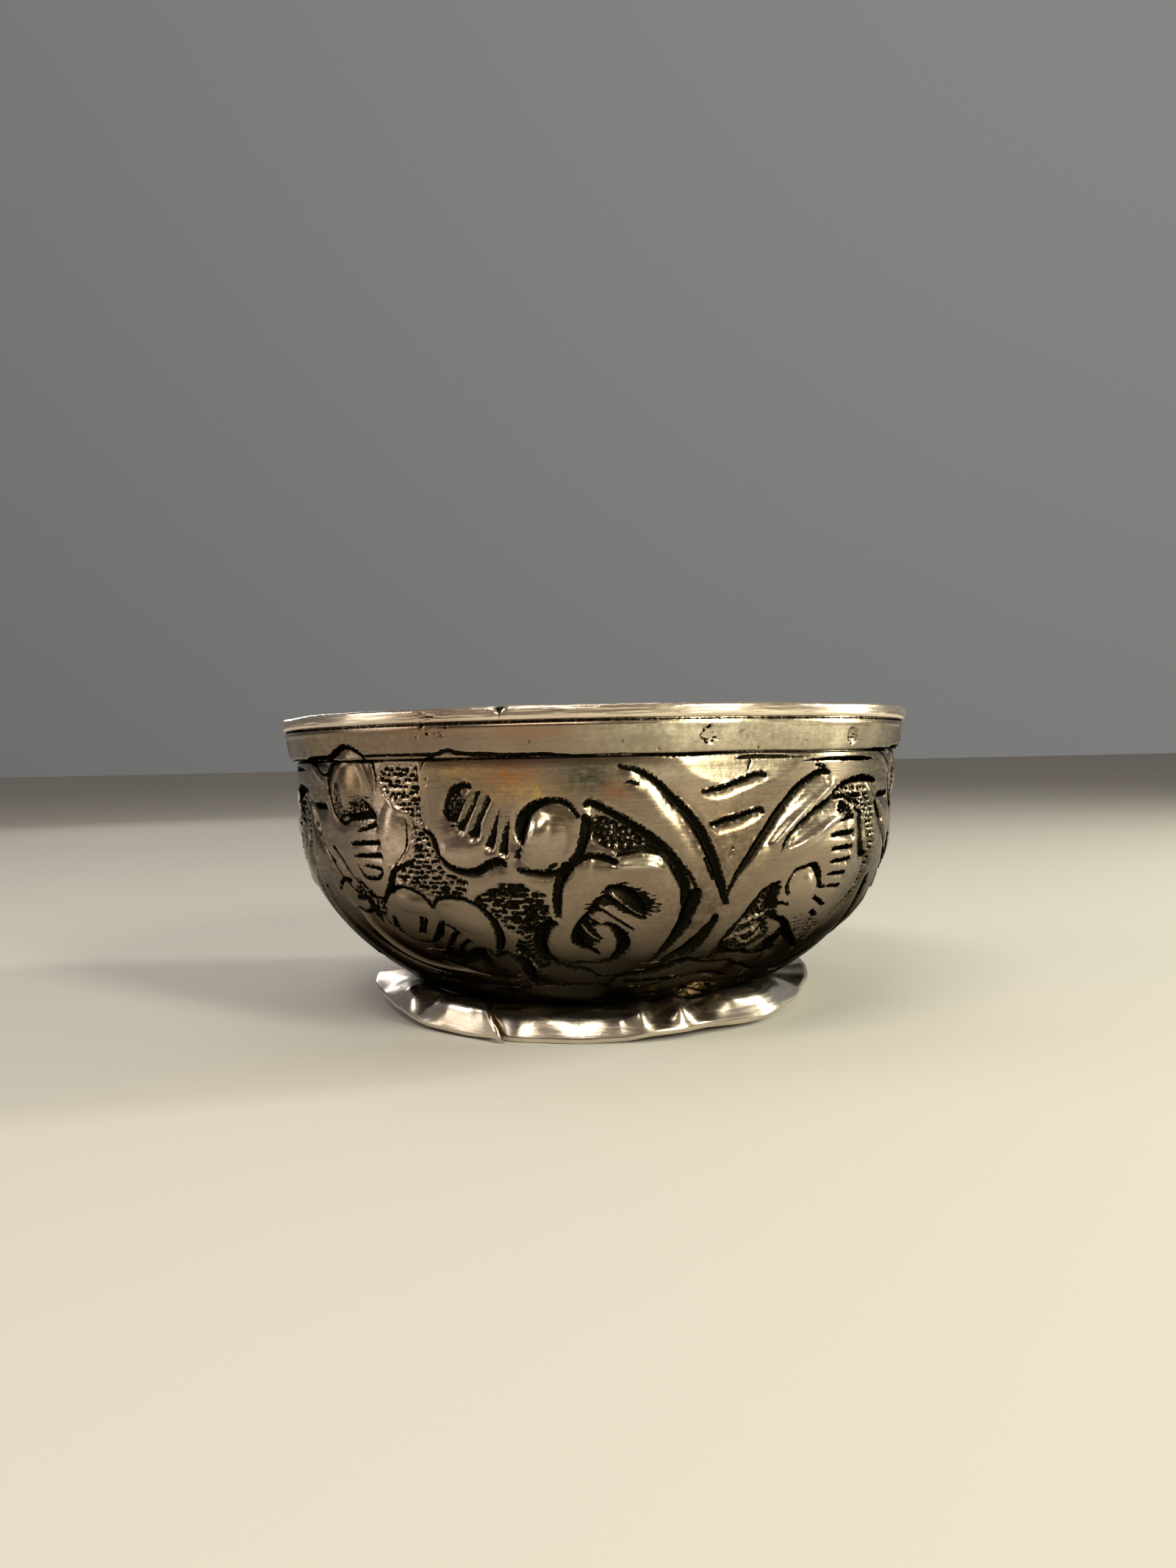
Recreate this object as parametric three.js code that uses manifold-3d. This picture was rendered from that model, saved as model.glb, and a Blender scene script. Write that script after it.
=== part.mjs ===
// A small kumkum bowl in oxidised silver: a raised shell chased with scrolls and leaves,
// a wire soldered round its lip, and a hand-flared foot strip held by a bead of solder.
// Millimetres, +Z up. The origin is where the bowl's axis meets the surface that it stands on.
// Angles are in degrees round the axis, from the front (-Y) and towards +X.
import * as THREE from "three";
import { mergeVertices } from "three/addons/utils/BufferGeometryUtils.js";
import Module from "manifold-3d";

// Shell: a wall that flares from the waist to the rim, over a round belly down to a flat base
const bowlHeight = 23.3;
const wallThickness = 0.9;
const waistRadius = 23.7;
const waistHeight = 14;
const rimFlare = 1.2; // how far the rim stands out past the waist
const flarePower = 1.7;
const baseRadius = 13.9;
const baseHeight = 2.2;
const bellyFullness = 1.72;
const bellyPoleDepth = 2.7; // how far under the base the belly's curve would close

// Line that parts the plain band under the rim from the chased belly
const bandDrop = 3.3;
const lineWidth = 0.5;
const lineDepth = 0.3;
const bandProud = 0.12;
const bellyTuck = 0.25; // how far the belly is drawn in under the line
const tuckReach = 5;

// Lip wire
const wireHeight = 1;
const wireProud = 0.1;
const wireEdge = 0.22;
const wireJointAngle = -13.6;
const wireNotchWidth = 0.35; // half its width at the wire's top
const wireNotchDepth = 0.45;

// Foot strip: a short neck under the base, bent out and down to a rounded flange
const footInset = 0.3; // from the base's edge to the middle of the neck
const footThickness = 0.7;
const footOffset = -0.4; // the foot sits a little to the left of the bowl's axis
const bendInset = 1.2; // from the flange's tip back to its bend
const bendDrop = 0.45; // from the base down to the bend
const flangeReach = 2.9;
const flangeLand = 0.5; // width of the flat face that it stands on
const footLapAngle = -22.5;
const footLapGap = 1.4;
const footLapStep = 0.7;
const flangeLift = 2;
const flangeSpread = 1.4;
// Where the flange was pushed up and out by hand: middle, half width, and shares of lift and spread
const flangeWaves = [
  { at: -97, width: 32, lift: 0.85, spread: 1 },
  { at: 38, width: 28, lift: 0.4, spread: 0 },
  { at: 94, width: 48, lift: 1, spread: 0.93 },
  { at: 178, width: 24, lift: 0.3, spread: 0.29 },
];

// Solder bead under the base
const beadWidth = 0.7;
const beadHeight = 0.6;
const beadClearance = 0.05;

// Chased pattern: one third of the belly, repeated round it. Each stroke is a list of
// [angle, drop, width], with the drop in mm down the wall from the line under the band,
// on a wall that is patternReach long from that line to the edge of the base.
const patternRepeats = 3;
const patternReach = 22;
const strokeSlope = 0.32; // depth of a stroke for its width
const strokeRise = 0.5; // how far a cutter stands out of the wall
const pointedLeaf = [
  [[-50.8, 1, 0.2], [-48.5, 0.2, 0.35], [-45, -0.6, 0.35], [-41.5, -0.5, 0.4], [-38.8, 0.8, 0.6], [-38.5, 2, 0.3]],
  [[-49.8, 2.7, 0.2], [-48.8, 3.8, 0.4], [-45.5, 4.1, 0.4], [-39.2, 3.6, 0.4]],
  [[-59, 3.8, 0.5], [-57.3, 5.4, 0.7], [-54, 6.6, 0.7], [-52, 7.4, 0.3]],
  [[-51.3, 6.3, 0.3], [-48.5, 7.4, 0.8], [-46.8, 9.1, 0.7], [-44.5, 10.6, 0.5]],
];
const upperPaisley = [
  [[-28.6, 2.9, 0.4], [-28.4, 4.6, 0.5], [-26.2, 6, 0.5], [-24.3, 7.2, 0.6], [-20, 7.6, 0.7], [-16.3, 6.9, 0.8], [-14.5, 7.1, 0.5]],
  [[-19.6, 2.1, 0.3], [-21.6, 2, 0.5], [-23.6, 3, 0.5], [-23.9, 4, 0.4]],
  [[-17.3, 2.6, 0.3], [-20.3, 4.8, 0.5]],
  [[-14, 3.6, 0.2], [-15.6, 5.9, 0.6]],
  [[-11.3, 5.7, 0.5], [-11.2, 4.6, 0.8], [-9.4, 3.4, 0.6], [-6, 3, 0.4], [-2.7, 4, 0.2]],
];
const lowerPaisley = [
  [[-34.5, 7.3, 0.5], [-37, 8.9, 0.5], [-39.3, 9.8, 0.2]],
  [[-38, 9.4, 0.2], [-34, 8.7, 0.3], [-30.3, 9.4, 0.4], [-28.9, 10.3, 0.2]],
  [[-28.4, 10, 0.2], [-25, 9.5, 0.4], [-20.5, 10.2, 0.7], [-18.1, 12, 0.9], [-19.3, 14.3, 0.3]],
  [[-39.3, 11.2, 0.2], [-40, 12.5, 0.4], [-36, 13.7, 0.5], [-31.5, 13, 0.6], [-28.2, 11.5, 0.3]],
  [[-24.3, 13.2, 0.5], [-30, 15.2, 0.15]],
];
const scrolls = [
  [[-1.6, 3.4, 0.4], [2, 3.7, 0.8], [7, 5, 1], [11.5, 6.8, 1.1], [14, 9, 1], [14.7, 10.6, 0.6]],
  [[-1.4, 4.1, 0.6], [-2, 6, 0.8], [-4.8, 7.4, 0.9], [-5.8, 8.6, 0.9], [-6.5, 10.8, 0.5]],
  [[-12, 7.4, 0.3], [-9, 7.6, 0.6], [-5.5, 7.6, 0.6]],
  [[-3.4, 7, 0.3], [0.5, 6.6, 0.6], [3.3, 7.2, 0.3]],
  [[-7.8, 11.3, 0.5], [-9.4, 12.8, 0.9], [-9.6, 14.5, 0.6], [-7, 15.4, 0.4], [-3, 16, 0.3]],
  [[1.5, 8.9, 0.5], [4.5, 9, 0.9], [7, 10.2, 0.8], [7.8, 11.1, 0.3]],
  [[2.2, 9.5, 0.3], [-1.5, 10.6, 0.7], [-3, 12.5, 0.9], [-2.6, 13.4, 0.8], [0.4, 14.2, 0.15]],
  [[0.2, 11.6, 0.3], [2.8, 12.1, 0.6], [4.2, 13.7, 0.9], [2.8, 15, 0.7], [-3.8, 15.2, 0.2]],
  [[16, 9.3, 0.6], [15.6, 11, 1], [14.5, 13, 0.9], [11.5, 14.8, 0.3]],
];
const vee = [
  [[4, 0.9, 0.2], [8.5, 1.8, 0.8], [13, 3.5, 1], [17, 5.7, 1.1], [20.2, 8.7, 0.9], [21.9, 10.2, 0.4]],
  [[41.8, 1.6, 0.2], [37.5, 2, 0.8], [32, 3.6, 0.9], [26, 6.4, 0.8], [21.9, 9.6, 0.3]],
  [[16.8, 2.6, 0.2], [20.5, 2.4, 0.6], [25, 1.9, 0.6], [28, 1.7, 0.2]],
  [[18.2, 4.7, 0.2], [22, 4.5, 0.7], [27.2, 3.9, 0.3]],
  [[20.6, 11.2, 0.3], [19.8, 13.2, 1.2], [17, 15, 1.6], [14, 15.7, 0.8]],
];
const lowerVine = [
  [[-58, 12.7, 0.4], [-51, 15.3, 0.9], [-42, 17.3, 0.7], [-38, 18.1, 0.5]],
  [[-19, 14.7, 0.35], [-16.5, 14.6, 0.5], [-14.9, 16, 0.5], [-15.1, 17.9, 0.3]],
];
const sideFlower = [
  [[31, 6.7, 0.2], [35, 5.1, 0.7], [45, 2.7, 0.6], [53, 2.2, 0.5], [59, 2.4, 0.3]],
  [[34.6, 10, 0.2], [34.1, 8.9, 0.4], [37, 8, 0.5], [40.6, 8.4, 0.5], [43.3, 9.7, 0.2]],
  [[29.8, 9.2, 0.4], [27.8, 10.8, 0.8], [25.8, 12.6, 0.7], [24.3, 13.9, 0.3]],
  [[31.4, 9.1, 0.5], [32.5, 11.2, 0.8], [37, 12.5, 0.7], [42, 14.3, 0.7], [47.5, 15.7, 0.4]],
];

// Punched grounds between the leaves, which lie lower: corners as [angle, drop].
const groundSink = 0.22;
const grounds = [
  [[-36.8, 0.6], [-29.2, 0.5], [-28.6, 4.2], [-30.6, 4], [-34, 2.8]],
  [[-31, 4.2], [-28.3, 4.9], [-25.2, 7.5], [-21, 8.2], [-22.5, 9.2], [-28.6, 9.1], [-35, 8], [-30.6, 6]],
  [[-20, 8.8], [-17.5, 8.2], [-12, 8.4], [-12, 12.4], [-12, 16.6], [-13.8, 15.2], [-16.2, 14], [-17, 11]],
  [[-13, 8.4], [-8.2, 8.2], [-7.4, 10.6], [-10.8, 13.5], [-5, 16.4], [-12.8, 17.4], [-12.8, 12.6]],
  [[0, 4.3], [5, 5.2], [9, 6.4], [3.2, 6], [-0.4, 5.4]],
  [[26.5, 12.6], [28.2, 11.3], [31.6, 11.6], [35, 13.5], [25.6, 15]],
  [[46, 2.7], [55, 2.7], [58.3, 6], [57, 10.7], [55.4, 6]],
];

// Bodies raised from behind: middle as angle and drop, half width, half height, turn and rise.
const bodies = [
  { angle: -8, drop: 5.3, wide: 1.35, high: 1.7, turn: 35, rise: 0.34 },
  { angle: -33.8, drop: 4.9, wide: 1, high: 1.9, turn: 20, rise: 0.3 },
  { angle: -33, drop: 10, wide: 1.9, high: 0.8, turn: 8, rise: 0.3 },
  { angle: -24.5, drop: 11.1, wide: 2.2, high: 0.95, turn: 32, rise: 0.3 },
  { angle: 38.3, drop: 9.6, wide: 1.5, high: 1.15, turn: -20, rise: 0.3 },
  { angle: 37, drop: 6.2, wide: 2.4, high: 0.7, turn: -25, rise: 0.22 },
  { angle: -44.5, drop: 2, wide: 1.5, high: 1.6, turn: 75, rise: 0.26 },
];
const bodyCrown = 0.5; // share of a body's size that its flat top has
const bodySkirt = 0.32; // how far its edge is sunk in the wall, as a share of its rise

// Facets
const roundSteps = 60;
const outerSteps = 8;
const innerSteps = 5;
const footSteps = 60;
const footSpans = 4;
const beadSteps = 36;
const bodySteps = 8;

const wasm = await Module();
wasm.setup();

// Triangles of a closed BufferGeometry as a solid that can be cut and joined.
function solidOf(geometry) {
  const bare = geometry.clone();
  bare.deleteAttribute("normal");
  bare.deleteAttribute("uv");
  const welded = mergeVertices(bare, 1e-4);
  return new wasm.Manifold(
    new wasm.Mesh({
      numProp: 3,
      vertProperties: welded.attributes.position.array,
      triVerts: new Uint32Array(welded.index.array),
    }),
  );
}

function geometryOf(solid) {
  const { vertProperties, triVerts } = solid.getMesh();
  const geometry = new THREE.BufferGeometry();
  geometry.setAttribute("position", new THREE.BufferAttribute(vertProperties, 3));
  geometry.setIndex(new THREE.BufferAttribute(triVerts, 1));
  geometry.computeVertexNormals();
  return geometry;
}

// A profile of [radius, height] points turned about +Z.
function turned(profile, steps) {
  const points = profile.map(([radius, height]) => new THREE.Vector2(radius, height));
  return new THREE.LatheGeometry(points, steps).rotateX(Math.PI / 2);
}

// The triangles of a flat cap that fans out from a convex ring's first point.
function fan(around) {
  return Array.from({ length: around - 2 }, (_, i) => [0, i + 1, i + 2]);
}

// A closed body from equal rings of points, with a cap at each end.
function lofted(rings, cap = fan(rings[0].length)) {
  const around = rings[0].length;
  const position = rings.flat().flatMap((point) => [point.x, point.y, point.z]);
  const index = [];
  for (let ring = 0; ring < rings.length - 1; ring++) {
    for (let i = 0; i < around; i++) {
      const a = ring * around + i;
      const b = ring * around + ((i + 1) % around);
      index.push(a, b, b + around, a, b + around, a + around);
    }
  }
  const last = (rings.length - 1) * around;
  for (const [a, b, c] of cap) {
    index.push(a, c, b);
    index.push(last + a, last + b, last + c);
  }
  const geometry = new THREE.BufferGeometry();
  geometry.setAttribute("position", new THREE.Float32BufferAttribute(position, 3));
  geometry.setIndex(index);
  geometry.computeVertexNormals();
  return geometry;
}

const rimRadius = waistRadius + rimFlare;
const shellTop = bowlHeight - wireHeight;
const lineHeight = bowlHeight - bandDrop;

// One quarter of a rounded square's edge: 1 at its side, 0 at its pole.
function bellyCurve(share) {
  return (1 - share ** bellyFullness) ** (1 / bellyFullness);
}

// The shell's outer radius at a height.
function outerRadius(height) {
  if (height >= waistHeight) {
    const up = (height - waistHeight) / (bowlHeight - waistHeight);
    const under = (lineHeight - height) / Math.min(tuckReach, lineHeight - waistHeight);
    const tuck = height < lineHeight ? bellyTuck * Math.max(1 - under, 0) : 0;
    return waistRadius + (rimRadius - waistRadius) * up ** flarePower - tuck;
  }
  const poleDrop = waistHeight - baseHeight + bellyPoleDepth;
  const poleRun = (waistRadius - baseRadius) / (1 - bellyCurve(1 - bellyPoleDepth / poleDrop));
  return waistRadius - poleRun * (1 - bellyCurve((waistHeight - height) / poleDrop));
}

// The wall's inner face: one thickness in from the outer face, square to it.
function innerPoint(height) {
  const step = 0.01;
  const slope = (outerRadius(height + step) - outerRadius(height - step)) / (2 * step);
  const length = Math.hypot(1, slope);
  return [outerRadius(height) - wallThickness / length, height + (wallThickness * slope) / length];
}

// Heights from the waist down to the base, closer together where the belly turns under.
function bellyHeights(steps) {
  const heights = [];
  for (let i = 0; i <= steps; i++) {
    const share = Math.sin(((i / steps) * Math.PI) / 2);
    heights.push(waistHeight - (waistHeight - baseHeight) * share);
  }
  return heights;
}

function shell() {
  const innerBase = baseHeight + wallThickness;
  const wallMiddle = (lineHeight + waistHeight) / 2;
  const inner = bellyHeights(innerSteps).map(innerPoint).filter(([, height]) => height > innerBase);
  const profile = [
    [0, innerBase],
    [baseRadius, innerBase],
    ...inner.reverse(),
    innerPoint(wallMiddle),
    [outerRadius(shellTop) - wallThickness, shellTop],
    [outerRadius(shellTop) + bandProud - wireEdge, shellTop],
    [outerRadius(shellTop) + bandProud, shellTop - wireEdge],
    [outerRadius(lineHeight + lineWidth / 2) + bandProud, lineHeight + lineWidth / 2],
    [outerRadius(lineHeight) - lineDepth, lineHeight],
    [outerRadius(lineHeight - lineWidth / 2), lineHeight - lineWidth / 2],
    [outerRadius(wallMiddle), wallMiddle],
    ...bellyHeights(outerSteps).map((height) => [outerRadius(height), height]),
    [0, baseHeight],
  ];
  return turned(profile.reverse(), roundSteps);
}

// A place on the wall: a turn round the axis, and a drop down the wall from the line.
const wall = new THREE.SplineCurve(
  [shellTop, lineHeight, (lineHeight + waistHeight) / 2, ...bellyHeights(outerSteps)].map(
    (height) => new THREE.Vector2(outerRadius(height), height),
  ),
);

function wallFrame(angle, drop) {
  const lineShare = (shellTop - lineHeight) / wall.getLength();
  const share = lineShare + ((1 - lineShare) * drop) / patternReach;
  const at = wall.getPointAt(share);
  const down = wall.getTangentAt(share);
  const turn = THREE.MathUtils.degToRad(angle);
  const spin = (radius, height) =>
    new THREE.Vector3(radius * Math.sin(turn), -radius * Math.cos(turn), height);
  return { place: spin(at.x, at.y), out: spin(-down.y, down.x) };
}

// A chisel's cut along a stroke: a V under the wall, with upright sides that clear it above.
function strokeCutter(stroke, turn) {
  const stops = stroke.map(([angle, drop, width]) => ({ ...wallFrame(angle + turn, drop), width }));
  return lofted(
    stops.map(({ place, out, width }, i) => {
      const before = stops[Math.max(i - 1, 0)].place;
      const after = stops[Math.min(i + 1, stops.length - 1)].place;
      const along = after.clone().sub(before).normalize();
      const side = new THREE.Vector3().crossVectors(out, along);
      const corner = (across, up) =>
        place.clone().addScaledVector(side, across).addScaledVector(out, up);
      return [
        corner(-width / 2, strokeRise),
        corner(-width / 2, 0),
        corner(0, -width * strokeSlope),
        corner(width / 2, 0),
        corner(width / 2, strokeRise),
      ];
    }),
  );
}

// A punch's field: a prism with the ground's outline, from its sunk floor to clear of the wall.
function groundCutter(corners, turn) {
  const flat = ([angle, drop]) =>
    new THREE.Vector2(THREE.MathUtils.degToRad(angle) * waistRadius, -drop);
  const ordered = THREE.ShapeUtils.isClockWise(corners.map(flat)) ? [...corners].reverse() : corners;
  const cap = THREE.ShapeUtils.triangulateShape(ordered.map(flat), []);
  const ring = (up) =>
    ordered.map(([angle, drop]) => {
      const { place, out } = wallFrame(angle + turn, drop);
      return place.addScaledVector(out, up);
    });
  return lofted([ring(-groundSink), ring(strokeRise)], cap);
}

// A low dome on the wall, with its skirt sunk in it.
function raisedBody({ angle, drop, wide, high, turn, rise }, spin) {
  const lean = THREE.MathUtils.degToRad(turn);
  const courses = [[1, -bodySkirt], [bodyCrown, 1]];
  const rings = courses.map(([share, lift]) => {
    const ring = [];
    for (let i = 0; i < bodySteps; i++) {
      const at = (-2 * Math.PI * i) / bodySteps;
      const point = new THREE.Vector2(wide * share * Math.cos(at), high * share * Math.sin(at));
      point.rotateAround(new THREE.Vector2(), lean);
      const aside = THREE.MathUtils.radToDeg(point.x / waistRadius);
      const { place, out } = wallFrame(angle + spin + aside, drop + point.y);
      ring.push(place.addScaledVector(out, lift * rise));
    }
    return ring;
  });
  return lofted(rings);
}

function chasedShell() {
  const strokes = [pointedLeaf, upperPaisley, lowerPaisley, scrolls, vee, lowerVine, sideFlower].flat();
  let chased = solidOf(shell());
  for (let i = 0; i < patternRepeats; i++) {
    const turn = (360 / patternRepeats) * i;
    for (const body of bodies) {
      chased = chased.add(solidOf(raisedBody(body, turn)));
    }
    for (const ground of grounds) {
      chased = chased.subtract(solidOf(groundCutter(ground, turn)));
    }
    for (const stroke of strokes) {
      chased = chased.subtract(solidOf(strokeCutter(stroke, turn)));
    }
  }
  return geometryOf(chased);
}

function lipWire() {
  const outside = rimRadius + wireProud;
  const inside = outerRadius(shellTop) - wallThickness;
  const profile = [
    [inside, shellTop],
    [outside - wireEdge, shellTop],
    [outside, shellTop + wireEdge],
    [outside, bowlHeight - wireEdge],
    [outside - wireEdge, bowlHeight],
    [inside + wireEdge, bowlHeight],
    [inside, bowlHeight - wireEdge],
    [inside, shellTop],
  ];
  const notch = new THREE.Shape([
    new THREE.Vector2(-wireNotchWidth, wireNotchDepth),
    new THREE.Vector2(0, -wireNotchDepth),
    new THREE.Vector2(wireNotchWidth, wireNotchDepth),
  ]);
  const through = outside - inside;
  const cutter = new THREE.ExtrudeGeometry(notch, { depth: 2 * through, bevelEnabled: false });
  cutter.rotateX(Math.PI / 2);
  cutter.translate(0, through / 2 - inside, bowlHeight);
  cutter.rotateZ(THREE.MathUtils.degToRad(wireJointAngle));
  return geometryOf(solidOf(turned(profile, roundSteps)).subtract(solidOf(cutter)));
}

// The shorter way round between two angles, in degrees.
function turnBetween(a, b) {
  return Math.abs(((((a - b) % 360) + 540) % 360) - 180);
}

const neckRadius = baseRadius - footInset;

// Where the flange ends at an angle, and how far it is lifted off the ground there.
function flangeTip(angle) {
  let radius = neckRadius + flangeReach + (footLapStep * (angle - footLapAngle)) / 360;
  let lift = 0;
  for (const wave of flangeWaves) {
    const away = turnBetween(angle, wave.at) / wave.width;
    const share = away < 1 ? (1 + Math.cos(Math.PI * away)) / 2 : 0;
    radius += flangeSpread * wave.spread * share;
    lift += flangeLift * wave.lift * share;
  }
  return { radius, lift };
}

// One slice through the foot strip: down the neck, out along the flange, and back below.
function footSection(angle) {
  const { radius, lift } = flangeTip(angle);
  const half = footThickness / 2;
  const middle = new THREE.QuadraticBezierCurve(
    new THREE.Vector2(neckRadius, baseHeight),
    new THREE.Vector2(radius - bendInset, baseHeight - bendDrop),
    new THREE.Vector2(radius - half / 2, half + lift),
  );
  const above = [];
  const below = [];
  for (let i = 0; i <= footSpans; i++) {
    const point = middle.getPoint(i / footSpans);
    const along = middle.getTangent(i / footSpans);
    const across = new THREE.Vector2(-along.y, along.x).multiplyScalar(half);
    above.push(point.clone().add(across));
    below.push(point.clone().sub(across));
  }
  above[0].y = baseHeight;
  above[1].y = Math.min(above[1].y, baseHeight);
  below[0].y = baseHeight;
  below[footSpans].set(radius, lift);
  const land = new THREE.Vector2(radius - flangeLand, lift);
  const outline = [...above, below[footSpans], land, ...below.slice(0, footSpans).reverse()];
  const turn = THREE.MathUtils.degToRad(angle);
  return outline.map(
    (p) => new THREE.Vector3(p.x * Math.sin(turn) + footOffset, -p.x * Math.cos(turn), p.y),
  );
}

function foot() {
  const rings = [];
  const start = footLapAngle + footLapGap / 2;
  const sweep = 360 - footLapGap;
  for (let i = 0; i <= footSteps; i++) {
    rings.push(footSection(start + (sweep * i) / footSteps));
  }
  return lofted(rings);
}

function solderBead() {
  const outside = neckRadius - footThickness / 2 - beadClearance;
  const profile = [
    [outside - beadWidth, baseHeight],
    [outside, baseHeight - beadHeight],
    [outside, baseHeight],
    [outside - beadWidth, baseHeight],
  ];
  return turned(profile, beadSteps).translate(footOffset, 0, 0);
}

const silver = { color: 0xbdb29c, metalness: 1, roughness: 0.34 };
const paleSilver = { color: 0xcfc8b8, metalness: 1, roughness: 0.28 };
const solderGrey = { color: 0x8d8677, metalness: 1, roughness: 0.55 };

const bowl = new THREE.Group();

function place(name, geometry, finish) {
  const mesh = new THREE.Mesh(geometry, new THREE.MeshStandardMaterial(finish));
  mesh.name = name;
  bowl.add(mesh);
}

place("bowl_shell", chasedShell(), silver);
place("lip_wire", lipWire(), silver);
place("foot_strip", foot(), paleSilver);
place("solder_bead", solderBead(), solderGrey);

export default bowl;
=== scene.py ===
# Small kumkum bowl in oxidised silver. Sizes are in mm and degrees, the scene is in metres.
# Angles run round the axis from the front (-Y) towards +X; a drop is mm down the wall from the rim.
import math

import bpy
import numpy as np
from mathutils import Matrix, Vector


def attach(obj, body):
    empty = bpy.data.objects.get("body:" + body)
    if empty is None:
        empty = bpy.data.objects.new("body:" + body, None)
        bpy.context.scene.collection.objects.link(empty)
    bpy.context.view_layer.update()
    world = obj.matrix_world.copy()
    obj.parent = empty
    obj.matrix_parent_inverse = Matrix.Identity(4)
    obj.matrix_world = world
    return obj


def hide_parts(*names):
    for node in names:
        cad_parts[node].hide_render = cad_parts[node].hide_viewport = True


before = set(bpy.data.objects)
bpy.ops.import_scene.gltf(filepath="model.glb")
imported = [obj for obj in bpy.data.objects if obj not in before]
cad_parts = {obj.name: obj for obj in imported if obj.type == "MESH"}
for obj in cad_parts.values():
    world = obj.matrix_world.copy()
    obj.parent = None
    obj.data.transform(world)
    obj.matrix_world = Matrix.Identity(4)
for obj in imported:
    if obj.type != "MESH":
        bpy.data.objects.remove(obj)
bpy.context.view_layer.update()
mm = 0.001
rng = np.random.default_rng(27)
bpy.context.scene.view_settings.view_transform = "Standard"


# Camera and stage
camera = {
    "place": (0, -97.8, 20.0),
    "yaw": -0.32,
    "pitch": 1.36,
    "roll": 1.2,
    "lens": 27.06,
    "sensor": 36,
    "clip": (0.002, 20),  # metres
}


def addCamera():
    yaw, pitch, roll = (math.radians(camera[turn]) for turn in ("yaw", "pitch", "roll"))
    ahead = Vector((math.sin(yaw) * math.cos(pitch), math.cos(yaw) * math.cos(pitch), -math.sin(pitch)))
    flatRight = Vector((math.cos(yaw), -math.sin(yaw), 0))
    flatUp = flatRight.cross(ahead)
    right = flatRight * math.cos(roll) - flatUp * math.sin(roll)
    up = flatRight * math.sin(roll) + flatUp * math.cos(roll)
    data = bpy.data.cameras.new("camera")
    data.lens = camera["lens"]
    data.sensor_width = camera["sensor"]
    data.clip_start, data.clip_end = camera["clip"]
    view = bpy.data.objects.new("camera", data)
    axes = Matrix((right, up, -ahead)).transposed().to_4x4()
    view.matrix_world = Matrix.Translation(Vector(camera["place"]) * mm) @ axes
    bpy.context.scene.collection.objects.link(view)
    bpy.context.scene.camera = view


lampAim = (0, 0, 12)
lamps = {
    "key": {"from": (190, -215, 135), "size": (46, 112), "power": 0.74, "colour": (1.0, 0.96, 0.72)},
    "side": {"from": (310, 40, 115), "size": (38, 170), "power": 0.95, "colour": (1.0, 0.98, 0.76)},
    "front": {"from": (-80, -180, 260), "size": (150, 60), "power": 0.4, "colour": (1.0, 0.9, 0.76)},
    "top": {"from": (-20, 60, 320), "size": (180, 120), "power": 0.1, "colour": (1.0, 0.97, 0.92)},
    "fill": {"from": (-290, -20, 190), "size": (160, 66), "power": 0.16, "colour": (1.0, 0.95, 0.93)},
    "left": {"from": (-300, -50, 66), "size": (110, 110), "power": 0.07, "colour": (1.0, 0.9, 0.8)},
    "rear": {"from": (-150, 300, 110), "size": (120, 66), "power": 0.06, "colour": (1.0, 0.95, 0.92)},
}


def addLamps():
    aim = Vector(lampAim) * mm
    for name, lamp in lamps.items():
        data = bpy.data.lights.new("lamp_" + name, "AREA")
        data.shape = "RECTANGLE"
        data.size, data.size_y = (side * mm for side in lamp["size"])
        data.energy = lamp["power"]
        data.color = lamp["colour"]
        light = bpy.data.objects.new("lamp_" + name, data)
        light.location = Vector(lamp["from"]) * mm
        light.visible_camera = False
        light.rotation_euler = (light.location - aim).to_track_quat("Z", "Y").to_euler()
        bpy.context.scene.collection.objects.link(light)


backdrop = {
    "horizon": (0.17, 0.17, 0.165),
    "horizonLevel": 0.45,  # share of the way from straight down to straight up
    "zenith": (0.26, 0.265, 0.27),
    "frontTint": (0.8, 0.6, 0.42),  # the side behind the camera is warmer
    "sideGain": 0.3,  # how much lighter the right of the studio is, and how much darker its left
}


def addWorld():
    world = bpy.data.worlds.new("studio")
    world.use_nodes = True
    nodes, links = world.node_tree.nodes, world.node_tree.links
    back = nodes["Background"]
    place = nodes.new("ShaderNodeTexCoord")
    parts = nodes.new("ShaderNodeSeparateXYZ")
    links.new(place.outputs["Generated"], parts.inputs[0])

    def level(axis, gain, start):
        node = nodes.new("ShaderNodeMath")
        node.operation = "MULTIPLY_ADD"
        node.inputs[1].default_value = gain
        node.inputs[2].default_value = start
        links.new(parts.outputs[axis], node.inputs[0])
        return node.outputs[0]

    ramp = nodes.new("ShaderNodeValToRGB")
    low, high = ramp.color_ramp.elements
    low.position, low.color = backdrop["horizonLevel"], (*backdrop["horizon"], 1)
    high.position, high.color = 1.0, (*backdrop["zenith"], 1)
    links.new(level("Z", 0.5, 0.5), ramp.inputs[0])
    links.new(level("X", backdrop["sideGain"], 1.0), back.inputs["Strength"])
    warm = nodes.new("ShaderNodeMix")
    warm.data_type = "RGBA"
    warm.blend_type = "MULTIPLY"
    warm.inputs[7].default_value = (*backdrop["frontTint"], 1)
    links.new(level("Y", -0.5, 0.5), warm.inputs["Factor"])
    links.new(ramp.outputs[0], warm.inputs[6])
    links.new(warm.outputs[2], back.inputs["Color"])
    bpy.context.scene.world = world


paper = {
    "reach": 2.4,  # metres each way
    "points": 48,
    "colour": (0.56, 0.545, 0.52),
    "roughness": 0.9,
}


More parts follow.
